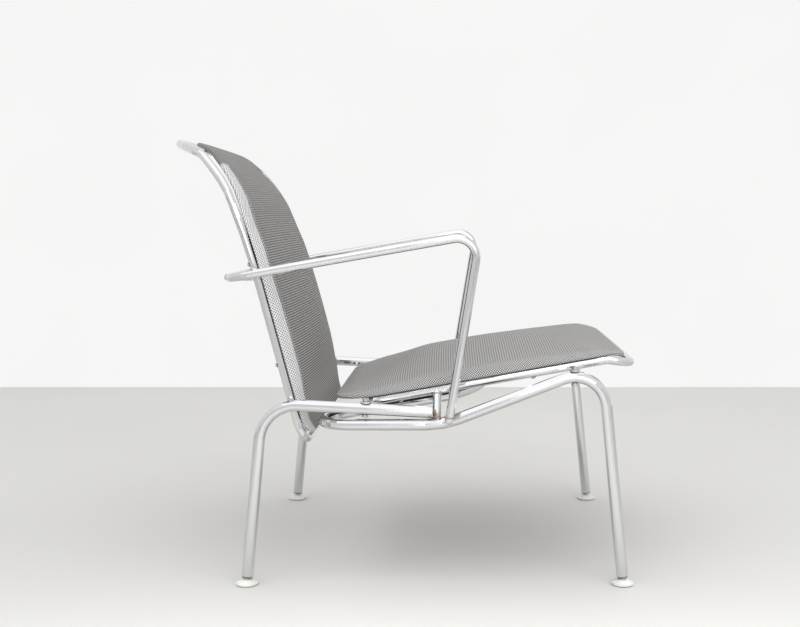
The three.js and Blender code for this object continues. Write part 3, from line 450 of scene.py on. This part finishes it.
def woven_cloth(name, looks, weave, face_yarns, side_yarns):
    """Two-tone weave: rows across the pad on its face, and staggered dots on its sides."""
    cloth = Finish(name)
    uv = cloth.node("ShaderNodeUVMap", "weave", uv_map="weave").outputs[0]
    parts = cloth.node("ShaderNodeSeparateXYZ", "across and along")
    cloth.feed(parts.inputs[0], uv)
    across, along = parts.outputs[0], parts.outputs[1]
    border = cloth.node(
        "ShaderNodeAttribute", "share of the border", attribute_name="border_share").outputs["Fac"]
    wander = cloth.noise(uv, scale=60.0, detail=1.0, label="uneven threads")
    drift = cloth.math("MULTIPLY_ADD", wander, ROW_DRIFT, along, "drifting rows")
    turns = math.tau / looks.row_pitch

    def waves(place, density, label):
        return cloth.math("SINE", cloth.math("MULTIPLY", place, turns * density), label=label)

    rows = waves(drift, 1.0, "rows")
    checks = cloth.math("MULTIPLY", rows, waves(across, 1.0, "columns"), label="staggered checks")
    side_rows = waves(drift, weave["side_rows"], "rows of the side")
    side_columns = waves(across, weave["side_columns"], "columns of the side")
    dots = cloth.math("MULTIPLY", side_rows, side_columns, label="dots of the side")

    contrast = cloth.ramp(along, ROW_CONTRAST_SPAN, weave["row_contrast"], "row contrast")
    face = cloth.math("MULTIPLY", rows, contrast)
    face = cloth.math("MULTIPLY_ADD", checks, CHECK_CONTRAST, face, "face pattern")
    face = cloth.math("ADD", face, weave["row_balance"], label="face balance")
    side = cloth.math("MULTIPLY_ADD", dots, DOT_CONTRAST, weave["side_balance"], "side pattern")
    start = weave["border_start"]
    started = cloth.ramp(along, (start, start + BORDER_START_RUN), label="border starts")
    outside = cloth.ramp(border, weave["side_span"], (1.0, 0.0), "side of the pad")
    outside = cloth.math("MULTIPLY", outside, started)

    fuzz = cloth.noise(uv, scale=900.0, label="fibres")
    ends = []
    for pattern, yarns, label in ((face, face_yarns, "face"), (side, side_yarns, "side")):
        fibred = cloth.math("SUBTRACT", pattern, FIBRE_CONTRAST / 2)
        fibred = cloth.math("MULTIPLY_ADD", fuzz, FIBRE_CONTRAST, fibred, "fibred " + label)
        share = cloth.math("MULTIPLY_ADD", fibred, 0.5, 0.5, "light share of the " + label, True)
        ends.append(cloth.blend(share, rgba(yarns[0]), rgba(yarns[1]), label + " yarns"))
    colour = cloth.blend(outside, ends[0], ends[1], "face and side")

    # Painted shade: the cover's colour darkens along the seam as if shade lay in its sunken line, and the
    # same mask sinks the relief there
    seam = cloth.math("SUBTRACT", border, SEAM_SHARE)
    seam = cloth.math("ABSOLUTE", seam, label="distance from the seam")
    painted_shade_and_groove = cloth.ramp(seam, SEAM_FADE, (weave["seam_shade_and_depth"], 0.0), "seam groove")
    painted_shade_and_groove = cloth.math("MULTIPLY", painted_shade_and_groove, started)
    colour = cloth.blend(painted_shade_and_groove, colour, rgba(PAINTED_SEAM_SHADE), "shaded seam")
    soil = cloth.noise(cloth.object_place(), scale=9.0, detail=3.0, label="uneven wear")
    wear = cloth.ramp(soil, (0.25, 0.8), (0.0, 0.14), "wear")
    colour = cloth.blend(wear, colour, rgba(WORN_CLOTH), "worn cloth")

    relief = cloth.math("MULTIPLY", rows, ROW_RELIEF)
    relief = cloth.math("MULTIPLY_ADD", checks, CHECK_CONTRAST, relief, "thread relief")
    cloth.bump(cloth.math("SUBTRACT", relief, painted_shade_and_groove), strength=0.45, distance=0.0005)
    cloth.set(Base_Color=colour, Roughness=0.86, Sheen_Weight=0.10, Sheen_Roughness=0.45,
              Specular_IOR_Level=0.2)
    return cloth.material


def thread(name, colour):
    """Twisted sewing thread."""
    yarn = Finish(name)
    place = yarn.object_place()
    twist = yarn.noise(place, scale=1400.0, label="twist")
    tone = yarn.blend(twist, rgba(colour, 0.6), rgba(colour, 1.5), "tone")
    yarn.bump(twist, strength=0.4, distance=0.0002)
    yarn.set(Base_Color=tone, Roughness=0.7, Specular_IOR_Level=0.3)
    return yarn.material


def crown(outline, rises, x, s):
    """Height of a pad's top over its underside: an edge, a climb to the ridge, and a crown."""
    def ease(distance, span):
        return np.sin(np.clip(distance / span, 0, 1) * math.pi / 2)

    inset = inset_from(outline, x, s)
    across = outline["half"] - np.abs(x) - RIDGE_INSET
    end = np.minimum(s - outline["low"], outline["high"] - s) - RIDGE_INSET
    swell = (rises["crown"] - rises["ridge"]) * ease(across, outline["half"] - RIDGE_INSET)
    swell = swell * ease(end, rises["run"])
    near_end = 1 - np.clip((outline["high"] - s) / rises["soft_run"], 0, 1)
    side = rises["side"] + (rises["soft_end"] - rises["side"]) * near_end
    climb = STEEP_CLIMB * ease(inset, side) + SLOPE_CLIMB * np.clip(inset / RIDGE_INSET, 0, 1)
    climb = (rises["ridge"] - PAD_EDGE) * climb
    rise = np.clip((s - outline["low"]) / rises["rise"], 0, 1) ** rises["rise_power"]
    ends = rise * ease(outline["high"] - s, rises["fall"]) ** rises["fall_power"]
    clearance = BOARD_CLEARANCE * ease(inset, BOARD_CLEARANCE_RUN)
    return PAD_EDGE + clearance + ends * (climb + swell)


def cut_cover(label, form, looks):
    """A closed cover: a fine grid on the side line, pulled up to the crown, its edge turned in."""
    outline, rises = form.outline, form.rises
    shape = bmesh.new()
    floats = shape.verts.layers.float
    layers = [floats.new(name) for name in ("across", "along", "border_share", "inset", "free")]
    columns, rows = looks.cover_columns, looks.cover_rows
    bmesh.ops.create_grid(shape, x_segments=columns, y_segments=rows, size=1.0)
    lower = list(shape.verts)
    raised = bmesh.ops.extrude_face_region(shape, geom=shape.faces[:], use_keep_orig=True)
    upper = [item for item in raised["geom"] if isinstance(item, bmesh.types.BMVert)]
    rim = 1 - rises["side"] / outline["half"]
    edge = 1 - 2 * looks.border_columns / columns
    for verts, top in ((lower, False), (upper, True)):
        flat = np.array([tuple(v.co) for v in verts])
        part = np.abs(flat[:, 0])
        outer = rim + (part - edge) * (1 - rim) / (1 - edge)
        part = np.where(part < edge, part * rim / edge, outer)
        along = 0.5 - 0.5 * np.cos(math.pi * (flat[:, 1] + 1) / 2)
        s = outline["low"] + (outline["high"] - outline["low"]) * along
        wide = half_width(outline, s)
        x = np.sign(flat[:, 0]) * part * wide
        inset = inset_from(outline, x, s)
        if top:
            height = crown(outline, rises, x, s)
            free = np.clip((inset - HELD_RIM) / FREE_RUN, 0, 1)
        else:
            height = FOLD + np.clip((inset - FOLD_WIDTH) / FOLD_RUN, 0, 1) * BOARD_TOP
            free = np.zeros(len(s))
        across = x + np.sign(x) * np.maximum(PAD_EDGE - height, 0)
        share = (wide - np.abs(x)) / border_inset(form.border, s)
        spots = form.line.place(x, s, height)[0]
        for vert, spot, *values in zip(verts, spots, across, s, share, inset, free):
            vert.co = spot
            for layer, value in zip(layers, values):
                vert[layer] = value
    bmesh.ops.remove_doubles(shape, verts=shape.verts, dist=MERGE_WITHIN)
    bmesh.ops.recalc_face_normals(shape, faces=shape.faces)
    mesh = bpy.data.meshes.new(label)
    shape.to_mesh(mesh)
    shape.free()
    piece = bpy.data.objects.new(label, mesh)
    bpy.context.scene.collection.objects.link(piece)
    return piece


def apply_modifiers(piece):
    """Work the piece's modifiers into its mesh, and leave none on it."""
    bpy.context.view_layer.update()
    shaped = piece.evaluated_get(bpy.context.evaluated_depsgraph_get())
    shaped = bpy.data.meshes.new_from_object(shaped)
    piece.modifiers.clear()
    old, piece.data = piece.data, shaped
    bpy.data.meshes.remove(old)


def coordinates(mesh):
    """The places of a mesh's vertices."""
    flat = np.zeros(len(mesh.vertices) * 3, np.float32)
    mesh.vertices.foreach_get("co", flat)
    return flat.reshape(-1, 3).astype(float)


def set_coordinates(mesh, places):
    mesh.vertices.foreach_set("co", places.ravel().astype(np.float32))
    mesh.update()


def attribute(mesh, name):
    """One number of each of a mesh's vertices."""
    found = np.zeros(len(mesh.vertices), np.float32)
    mesh.attributes[name].data.foreach_get("value", found)
    return found.astype(float)


def fill(piece, line, looks):
    """Push the cover out by cloth simulation, held at its underside and its rim."""
    start = coordinates(piece.data)
    along, inset, free = (attribute(piece.data, name) for name in ("along", "inset", "free"))
    lower = looks.slack * free * np.clip(inset / SLACK_RUN, 0, 1)
    start[:, 1] -= np.interp(along, line.at, line.out[:, 0]) * lower
    start[:, 2] -= np.interp(along, line.at, line.out[:, 1]) * lower
    set_coordinates(piece.data, start)
    held = piece.vertex_groups.new(name="held")
    for index in np.nonzero(free < HELD_UNDER)[0]:
        held.add([int(index)], 1.0, "REPLACE")
    cloth = piece.modifiers.new("filling", "CLOTH")
    cloth.settings.vertex_group_mass = "held"
    cloth.settings.use_pressure = True
    cloth.settings.uniform_pressure_force = looks.pressure
    cloth.settings.effector_weights.gravity = 0
    cloth.settings.quality = CLOTH_QUALITY
    cloth.point_cache.frame_start = 1
    cloth.point_cache.frame_end = CLOTH_FRAMES
    scene = bpy.context.scene
    for number in range(1, CLOTH_FRAMES + 1):
        scene.frame_set(number)
    moved = coordinates(piece.evaluated_get(bpy.context.evaluated_depsgraph_get()).data)
    piece.modifiers.clear()
    piece.vertex_groups.clear()
    scene.frame_set(1)
    push = moved - start
    far = np.linalg.norm(push, axis=1)
    limit = looks.swell * np.minimum(1.0, free * 2)
    push *= np.minimum(1.0, limit / np.maximum(far, 1e-9))[:, None]
    set_coordinates(piece.data, start + push)


def lay_weave(piece):
    """The cover's own map, metres across and along the pad."""
    across, along = attribute(piece.data, "across"), attribute(piece.data, "along")
    uv = piece.data.uv_layers.new(name="weave")
    corners = np.zeros(len(piece.data.loops), np.int32)
    piece.data.loops.foreach_get("vertex_index", corners)
    places = np.stack([across[corners], along[corners]], 1)
    uv.data.foreach_set("uv", places.ravel().astype(np.float32))


def make_pad(node_name, label, form, material, looks):
    """One upholstered pad in place of its CAD solid."""
    piece = cut_cover(label, form, looks)
    fill(piece, form.line, looks)
    round_off = piece.modifiers.new("soft cover", "SUBSURF")
    round_off.levels = 1
    round_off.render_levels = 1
    apply_modifiers(piece)
    lay_weave(piece)
    piece.data.materials.clear()
    piece.data.materials.append(material)
    piece.data.shade_smooth()
    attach(piece, CHAIR)
    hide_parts(node_name)
    return piece


def on_cover(pad, line, points):
    """Where the points (x, s) meet the pad's cover, sunk by SEAM_SINK, and the normal at each."""
    faces = [p.vertices for p in pad.data.polygons]
    tree = BVHTree.FromPolygons([v.co for v in pad.data.vertices], faces)
    starts = line.place(points[:, 0], points[:, 1], np.full(len(points), RAY_START))
    found = []
    for above, out in zip(*starts):
        spot, normal = tree.ray_cast(Vector(above), -Vector(out), RAY_LENGTH)[:2]
        if spot is not None:
            found.append((spot - normal * SEAM_SINK, normal))
    return found


def side_seams(pad, form, inward, step):
    """The seam on each side of a pad, as places on its cover with the normal at each."""
    last = form.outline["high"] - BACK_SEAM_END_GAP
    run = seam_run(form, inward, BACK_SEAM_START, last, step)
    return [on_cover(pad, form.line, run * (side, 1)) for side in (-1, 1)]


def sew(name, pad, form, looks, material):
    """A row of stitches along each side seam of a pad, each half sunk in the cover."""
    shape = bmesh.new()
    thick = looks.stitch_thickness / 2
    half = Matrix.Diagonal((looks.stitch_length / 2, thick, thick, 1))
    for placed in side_seams(pad, form, 0.0, looks.stitch_pitch):
        for (spot, normal), (after, _) in zip(placed, placed[1:]):
            way = (after - spot).normalized()
            across = normal.cross(way).normalized()
            turn = Matrix((way, across, normal)).transposed().to_4x4()
            bmesh.ops.create_uvsphere(
                shape, u_segments=STITCH_SEGMENTS, v_segments=STITCH_RINGS, radius=1.0,
                matrix=Matrix.Translation(spot) @ turn @ half)
    return new_piece(name, shape, material)


def pipe(name, pad, form, looks, material):
    """A thin piping beside each side seam of a pad, half sunk in the cover."""
    shape = bmesh.new()
    for placed in side_seams(pad, form, PIPING_INWARD, PIPING_STEP):
        rings = []
        last = len(placed) - 1
        for index, (spot, normal) in enumerate(placed):
            before, after = placed[max(index - 1, 0)][0], placed[min(index + 1, last)][0]
            way = (after - before).normalized()
            turn = Matrix((normal.cross(way).normalized(), normal, way)).transposed().to_4x4()
            ring = bmesh.ops.create_circle(
                shape, segments=PIPING_SIDES, radius=looks.stitch_thickness / 2,
                cap_ends=index in (0, last), matrix=Matrix.Translation(spot) @ turn)
            rings.append(list({e for v in ring["verts"] for e in v.link_edges}))
        for low, high in zip(rings, rings[1:]):
            bmesh.ops.bridge_loops(shape, edges=low + high)
    bmesh.ops.recalc_face_normals(shape, faces=shape.faces)
    return new_piece(name, shape, material)


class CHAIR_OT_seat_pad(bpy.types.Operator):
    """Make the seat pad's filled cover"""

    bl_idname = "lounge_chair.seat_pad"
    bl_label = "Seat pad"

    def execute(self, context):
        looks = context.scene.chair_fabric
        side_yarns = (looks.dark_yarn, looks.light_yarn)
        cloth = woven_cloth("seat weave", looks, SEAT_WEAVE, SEAT_FACE_YARNS, side_yarns)
        make_pad("seat_pad", "seat_cover", SEAT_FORM, cloth, looks)
        return {"FINISHED"}


class CHAIR_OT_back_pad(bpy.types.Operator):
    """Make the back pad's filled cover, and the stitches and piping of its seams"""

    bl_idname = "lounge_chair.back_pad"
    bl_label = "Back pad"

    def execute(self, context):
        looks = context.scene.chair_fabric
        cloth = woven_cloth("back weave", looks, BACK_WEAVE, BACK_FACE_YARNS, BACK_SIDE_PAINTED_LIGHT_YARNS)
        pad = make_pad("back_pad", "back_cover", BACK_FORM, cloth, looks)
        sew("back_stitches", pad, BACK_FORM, looks, thread("dark thread", STITCH_YARN))
        pipe("back_piping", pad, BACK_FORM, looks, thread("grey piping", PIPING_YARN))
        return {"FINISHED"}


# ---------------------------------------------------------------- metal


# One side's rusty spots on the tubes: beside the rear leg's end, and before the arm post's foot
RUSTY = ((0.285, -0.0655, 0.2940), (0.285, -0.1050, 0.2950))

# One side's welds: the middle of each bead, and the way that the welded tube runs
WELD_MIDDLES = ((0.3028, -0.09361, 0.2952), (0.285, -0.07264, 0.2905), (0.2540, -0.07264, 0.3265))
WELD_WAYS = ((0, -0.10, 1), (-0.55, 0, 1), (-0.55, 0, 1))
WELD_RADIUS = 0.0075
WELD_STEPS = 40
WELD_SIDES = 8
WELD_RIPPLES = 14
RIPPLE_DEPTH = 0.22

DULL_ZINC = (0.30, 0.26, 0.20)
BARE_BEAD = (0.45, 0.44, 0.42)


def mirrored(places):
    """One side's places or ways, on the chair's right and then on its left."""
    return [Vector((side * x, y, z)) for side in (-1, 1) for x, y, z in places]


def bright_plating(looks):
    """Bright plated tube, with haze, fine scratches, pits and a few rusty spots."""
    plate = Finish("bright tube")
    place = plate.object_place()
    haze = plate.noise(place, scale=35.0, detail=4.0, label="haze")
    scratch = plate.noise(place, scale=420.0, detail=3.0, roughness=0.7, label="fine scratches")
    rough = plate.ramp(haze, (0.3, 0.75), (0.055, 0.13), "polish")
    rough = plate.math("MULTIPLY_ADD", scratch, 0.05, rough, "scratched polish")
    nearest = None
    for spot in mirrored(RUSTY):
        away = plate.node(
            "ShaderNodeVectorMath", "distance to a rusty spot", operation="DISTANCE")
        plate.feed(away.inputs[0], place)
        away.inputs[1].default_value = spot
        gap = away.outputs["Value"]
        nearest = gap if nearest is None else plate.math(
            "MINIMUM", nearest, gap, label="nearest rusty spot")
    broken = plate.noise(place, scale=160.0, detail=4.0, roughness=0.65, label="broken edge")
    reach = plate.math("MULTIPLY_ADD", broken, looks.rust_reach, nearest, "ragged distance")
    rust_span = (looks.rust_reach * 1.1, looks.rust_reach * 1.7)
    rust = plate.ramp(reach, rust_span, (0.75, 0.0), "rust")
    pits = plate.noise(place, scale=700.0, label="pits")
    pits = plate.ramp(pits, (0.70, 0.76), (0.0, 0.35), "pitting")
    mark = plate.math("MAXIMUM", rust, pits, label="marks")
    plate.set(
        Base_Color=plate.blend(mark, rgba(looks.plating), rgba(looks.rust), "plating and rust"),
        Metallic=plate.math("SUBTRACT", 1.0, plate.math("MULTIPLY", rust, 0.8)),
        Roughness=plate.math("MAXIMUM", rough, plate.math("MULTIPLY", rust, 0.7)),
    )
    height = plate.math("MULTIPLY_ADD", mark, 0.5, haze)
    plate.bump(height, strength=0.05, distance=0.0004)
    return plate.material


def zinc_plating(name, looks, polish):
    """Zinc plated fastener with turned marks."""
    plate = Finish(name)
    place = plate.object_place()
    grain = plate.noise(place, scale=900.0, detail=3.0, roughness=0.6, label="turned marks")
    dull = plate.noise(place, scale=120.0, detail=3.0, label="dull spots")
    dull = plate.ramp(dull, (0.5, 0.8), (0.0, 0.4))
    plate.set(
        Base_Color=plate.blend(dull, rgba(looks.zinc), rgba(DULL_ZINC)),
        Metallic=1.0, Roughness=plate.ramp(grain, (0.2, 0.8), polish, "satin"),
    )
    plate.bump(grain, strength=0.15, distance=0.0002)
    return plate.material


def weld_metal(looks):
    """Rippled weld bead, browned by rust."""
    bead = Finish("weld bead")
    place = bead.object_place()
    grain = bead.noise(place, scale=300.0, detail=4.0, roughness=0.7, label="spatter")
    brown = bead.ramp(grain, (0.35, 0.65), (0.0, 0.85), "browning")
    bead.set(
        Base_Color=bead.blend(brown, rgba(BARE_BEAD), rgba(looks.rust), "bead"),
        Metallic=bead.math("SUBTRACT", 1.0, brown),
        Roughness=bead.ramp(grain, (0.2, 0.8), (0.35, 0.75)),
    )
    bead.bump(grain, strength=0.5, distance=0.0006)
    return bead.material


class CHAIR_OT_tubes(bpy.types.Operator):
    """Give the tubes their bright plating"""

    bl_idname = "lounge_chair.tubes"
    bl_label = "Tubes"

    def execute(self, context):
        dress(TUBE_NODES, bright_plating(context.scene.chair_metal))
        return {"FINISHED"}


class CHAIR_OT_welds(bpy.types.Operator):
    """Make the weld beads where one tube meets another"""

    bl_idname = "lounge_chair.welds"
    bl_label = "Weld beads"

    def execute(self, context):
        looks = context.scene.chair_metal
        shape = bmesh.new()
        upright = Matrix.Translation((WELD_RADIUS, 0, 0)) @ Matrix.Rotation(math.pi / 2, 4, "X")
        for middle, way in zip(mirrored(WELD_MIDDLES), mirrored(WELD_WAYS)):
            turn = way.to_track_quat("Z", "Y").to_matrix().to_4x4()
            before = set(shape.verts)
            ring = bmesh.ops.create_circle(
                shape, segments=WELD_SIDES, radius=looks.bead / 2, matrix=upright)
            rim = list({e for v in ring["verts"] for e in v.link_edges})
            bmesh.ops.spin(shape, geom=ring["verts"] + rim, cent=(0, 0, 0), axis=(0, 0, 1),
                           angle=math.tau, steps=WELD_STEPS, use_merge=True)
            made = [v for v in shape.verts if v not in before]
            for vert in made:
                angle = math.atan2(vert.co.y, vert.co.x)
                core = Vector((math.cos(angle), math.sin(angle), 0)) * WELD_RADIUS
                ripple = 1 + RIPPLE_DEPTH * math.sin(angle * WELD_RIPPLES)
                vert.co = core + (vert.co - core) * ripple
            bmesh.ops.transform(shape, matrix=Matrix.Translation(middle) @ turn, verts=made)
        bmesh.ops.remove_doubles(shape, verts=shape.verts, dist=1e-6)
        bmesh.ops.recalc_face_normals(shape, faces=shape.faces)
        new_piece("weld_beads", shape, weld_metal(looks))
        return {"FINISHED"}


class CHAIR_OT_fasteners(bpy.types.Operator):
    """Give the bolts, nuts and screws their zinc finish"""

    bl_idname = "lounge_chair.fasteners"
    bl_label = "Fasteners"

    def execute(self, context):
        looks = context.scene.chair_metal
        names = [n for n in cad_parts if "screw" in n or "bolt" in n or "nut" in n]
        bright = [n for n in names if n.startswith("rest_screw")]
        satin = [n for n in names if n not in bright]
        dress(satin, zinc_plating("zinc fastener", looks, (0.22, 0.42)))
        dress(bright, zinc_plating("bright screw", looks, (0.10, 0.25)))
        return {"FINISHED"}


# ---------------------------------------------------------------- boards, glides and inserts


GRAIN_STRETCH = (90.0, 6.0, 6.0)
FLOOR_DIRT = (0.33, 0.30, 0.25)
WORN_INSERT = (0.05, 0.05, 0.05)


class CHAIR_OT_boards(bpy.types.Operator):
    """Stain the boards that carry the pads"""

    bl_idname = "lounge_chair.boards"
    bl_label = "Boards"

    def execute(self, context):
        looks = context.scene.chair_small_parts
        wood = Finish("stained board")
        stretch = wood.node("ShaderNodeMapping", "grain runs along the board")
        stretch.inputs["Scale"].default_value = GRAIN_STRETCH
        wood.feed(stretch.inputs[0], wood.object_place())
        fibres = stretch.outputs[0]
        grain = wood.noise(fibres, scale=1.0, detail=6.0, roughness=0.65, label="grain")
        pores = wood.noise(fibres, scale=5.0, detail=3.0, roughness=0.6, label="pores")
        tone = wood.ramp(grain, (0.3, 0.7), label="grain tone")
        stain = wood.blend(tone, rgba(looks.board, 0.55), rgba(looks.board, 1.5), "stain")
        rough = wood.ramp(pores, (0.3, 0.7), (0.5, 0.75))
        wood.set(Base_Color=stain, Roughness=rough, Specular_IOR_Level=0.35)
        height = wood.math("MULTIPLY_ADD", pores, 0.6, grain)
        wood.bump(height, strength=0.25, distance=0.0004)
        dress(("seat_board", "back_board"), wood.material)
        return {"FINISHED"}


class CHAIR_OT_glides(bpy.types.Operator):
    """Give the glides, their stems and the inserts their plastics"""

    bl_idname = "lounge_chair.glides"
    bl_label = "Glides"

    def execute(self, context):
        looks = context.scene.chair_small_parts
        white = Finish("glide plastic")
        place = white.object_place()
        parts = white.node("ShaderNodeSeparateXYZ", "height off the floor")
        white.feed(parts.inputs[0], place)
        scuff = white.noise(place, scale=140.0, detail=4.0, roughness=0.65, label="scuffs")
        ragged = white.math("MULTIPLY_ADD", scuff, -0.006, parts.outputs[2], "ragged height")
        dirt = white.ramp(ragged, (-0.003, 0.002), (0.55, 0.0), "dirt at the floor")
        dirt = white.math("MAXIMUM", dirt, white.ramp(scuff, (0.62, 0.78), (0.0, 0.25)))
        white.set(
            Base_Color=white.blend(dirt, rgba(looks.glide), rgba(FLOOR_DIRT), "worn white"),
            Roughness=white.ramp(scuff, (0.2, 0.8), (0.38, 0.6)), Specular_IOR_Level=0.45,
        )
        white.bump(scuff, strength=0.12, distance=0.0004)
        white_nodes = [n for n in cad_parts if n.startswith(("glide_disc", "glide_stem"))]
        dress(white_nodes, white.material)
        black = Finish("insert plastic")
        speck = black.noise(black.object_place(), scale=600.0, detail=3.0, label="moulded grain")
        black.set(
            Base_Color=black.blend(speck, rgba(looks.insert), rgba(WORN_INSERT)),
            Roughness=black.ramp(speck, (0.2, 0.8), (0.45, 0.65)),
        )
        black.bump(speck, strength=0.2, distance=0.0003)
        dress([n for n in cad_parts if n.startswith("foot_insert")], black.material)
        return {"FINISHED"}


# ---------------------------------------------------------------- stage


FLOOR_DROP = 0.0005
FLOOR_HALF = (8, 8)
WALL_HALF = (6, 8)
WALL_GLOW = 1.0
LAMPS = (
    {"name": "ceiling light", "place": (-0.4, 0.3, 3.2), "aim": (0.0, 0, 0.3),
     "size": (3.2, 4.6), "power": 20},
    {"name": "camera side light", "place": (-3.2, -1.3, 2.0), "aim": (0, 0, 0.4),
     "size": (3.4, 2.4), "power": 38},
    {"name": "floor light", "place": (-1.55, -0.10, 1.3), "aim": (-1.55, -0.10, 0.0),
     "size": (2.2, 1.6), "power": 6, "spread": math.radians(60)},
)
# The air's light: its strength goes from the third number to the fourth as the way of a ray goes
# from the first to the second, where 0 is level and 1 is straight up
AIR_STRENGTH = (0.0, 0.70, 0.82, 1.00)
AIR_COLOUR = (0.98, 0.99, 1.0)
FILM_WIDTH = 36.0


def flat_sheet(name, place, half, material):
    """One large stage sheet, from a grid that is placed in its mesh."""
    shape = bmesh.new()
    matrix = place @ Matrix.Diagonal((*half, 1, 1))
    bmesh.ops.create_grid(shape, x_segments=2, y_segments=2, size=1.0, matrix=matrix)
    mesh = bpy.data.meshes.new(name)
    shape.to_mesh(mesh)
    shape.free()
    mesh.materials.append(material)
    sheet = bpy.data.objects.new(name, mesh)
    bpy.context.scene.collection.objects.link(sheet)
    return sheet


def painted(name, colour, glow=0.0):
    """A pale matt paint.

    With a glow, the camera and metal see the paint at that strength, and its light doesn't change.
    """
    paint = Finish(name)
    cloud = paint.noise(
        paint.object_place(), scale=1.7, detail=4.0, roughness=0.55, label="uneven paint")
    cloud = paint.ramp(cloud, (0.3, 0.7), (0.0, 0.5))
    tone = paint.blend(cloud, rgba(colour), rgba(colour, 0.96))
    paint.set(Base_Color=tone, Roughness=0.8, Specular_IOR_Level=0.2)
    if glow:
        rays = paint.node("ShaderNodeLightPath", "what sees it").outputs
        seen = paint.math("MAXIMUM", rays["Is Glossy Ray"], rays["Is Transmission Ray"])
        seen = paint.math("MAXIMUM", rays["Is Camera Ray"], seen, label="seen")
        shine = paint.node("ShaderNodeEmission", "seen paint")
        paint.feed(shine.inputs[0], tone)
        paint.feed(shine.inputs[1], glow)
        mix = paint.node("ShaderNodeMixShader", "lit or seen")
        for socket, value in zip(mix.inputs, (seen, paint.shader.outputs[0], shine.outputs[0])):
            paint.feed(socket, value)
        paint.feed(paint.tree.nodes["Material Output"].inputs[0], mix.outputs[0])
    return paint.material


def soft_lamp(name, place, aim, size, power, spread=math.pi):
    """An area lamp that the camera doesn't see."""
    lamp = bpy.data.lights.new(name, "AREA")
    lamp.shape = "RECTANGLE"
    lamp.size, lamp.size_y = size
    lamp.energy = power
    lamp.spread = spread
    holder = bpy.data.objects.new(name, lamp)
    holder.location = place
    holder.rotation_euler = (Vector(aim) - Vector(place)).to_track_quat("-Z", "Y").to_euler()
    holder.visible_camera = False
    bpy.context.scene.collection.objects.link(holder)


def studio_air():
    """A world that is a little brighter overhead than at the sides."""
    world = bpy.data.worlds.new("studio air")
    world.use_nodes = True
    air = world.node_tree
    around = air.nodes.new("ShaderNodeTexCoord")
    parts = air.nodes.new("ShaderNodeSeparateXYZ")
    lift = air.nodes.new("ShaderNodeMapRange")
    lift.interpolation_type = "SMOOTHSTEP"
    for socket, value in zip(lift.inputs[1:5], AIR_STRENGTH):
        socket.default_value = value
    colour, strength = air.nodes["Background"].inputs[:2]
    colour.default_value = rgba(AIR_COLOUR)
    air.links.new(around.outputs["Generated"], parts.inputs[0])
    air.links.new(parts.outputs[2], lift.inputs[0])
    air.links.new(lift.outputs[0], strength)
    return world


def side_camera(looks):
    """The camera on the chair's right, looking level across it and a little down."""
    lens = bpy.data.cameras.new("side camera")
    lens.lens = looks.focal_length
    lens.sensor_width = FILM_WIDTH
    lens.sensor_fit = "HORIZONTAL"
    lens.shift_x = looks.sideways_shift
    camera = bpy.data.objects.new("side camera", lens)
    camera.location = looks.camera_place
    camera.rotation_euler = (math.pi / 2 - looks.camera_pitch, 0, -math.pi / 2)
    bpy.context.scene.collection.objects.link(camera)
    return camera


class CHAIR_OT_stage(bpy.types.Operator):
    """Set up the pale floor and wall, the soft lamps and the camera"""

    bl_idname = "lounge_chair.stage"
    bl_label = "Stage"

    def execute(self, context):
        looks = context.scene.chair_stage
        floor_place = Matrix.Translation((0, 0, -FLOOR_DROP))
        upright = Matrix.Rotation(math.pi / 2, 4, "Y")
        wall_place = Matrix.Translation((looks.wall_distance, 0, 0)) @ upright
        flat_sheet("floor", floor_place, FLOOR_HALF, painted("floor paint", looks.floor))
        flat_sheet("wall", wall_place, WALL_HALF, painted("wall paint", looks.wall, WALL_GLOW))
        for lamp in LAMPS:
            soft_lamp(**lamp)
        context.scene.world = studio_air()
        context.scene.camera = side_camera(looks)
        context.scene.view_settings.view_transform = "Standard"
        return {"FINISHED"}


# ---------------------------------------------------------------- panel and registration


class CHAIR_PT_dressing(bpy.types.Panel):
    """The chair's pieces, in the order that they are made"""

    bl_idname = "CHAIR_PT_dressing"
    bl_label = "Lounge Chair"
    bl_space_type = "VIEW_3D"
    bl_region_type = "UI"
    bl_category = "Lounge Chair"

    def draw(self, context):
        for operator in OPERATORS:
            self.layout.operator(operator.bl_idname)
        for group in SETTINGS:
            settings = getattr(context.scene, group)
            for name in settings.bl_rna.properties.keys():
                if name not in ("rna_type", "name"):
                    self.layout.prop(settings, name)


OPERATORS = (
    CHAIR_OT_tubes,
    CHAIR_OT_welds,
    CHAIR_OT_fasteners,
    CHAIR_OT_boards,
    CHAIR_OT_glides,
    CHAIR_OT_seat_pad,
    CHAIR_OT_back_pad,
    CHAIR_OT_stage,
)
SETTINGS = {
    "chair_fabric": ChairFabric,
    "chair_metal": ChairMetal,
    "chair_small_parts": ChairSmallParts,
    "chair_stage": ChairStage,
}
CLASSES = tuple(SETTINGS.values()) + OPERATORS + (CHAIR_PT_dressing,)


def register():
    for item in CLASSES:
        bpy.utils.register_class(item)
    for name, group in SETTINGS.items():
        setattr(bpy.types.Scene, name, bpy.props.PointerProperty(type=group))


def unregister():
    for name in SETTINGS:
        delattr(bpy.types.Scene, name)
    for item in reversed(CLASSES):
        bpy.utils.unregister_class(item)


def main():
    register()
    bpy.ops.lounge_chair.tubes()
    bpy.ops.lounge_chair.welds()
    bpy.ops.lounge_chair.fasteners()
    bpy.ops.lounge_chair.boards()
    bpy.ops.lounge_chair.glides()
    bpy.ops.lounge_chair.seat_pad()
    bpy.ops.lounge_chair.back_pad()
    bpy.ops.lounge_chair.stage()
    bpy.context.view_layer.update()


if __name__ == "__main__":
    main()
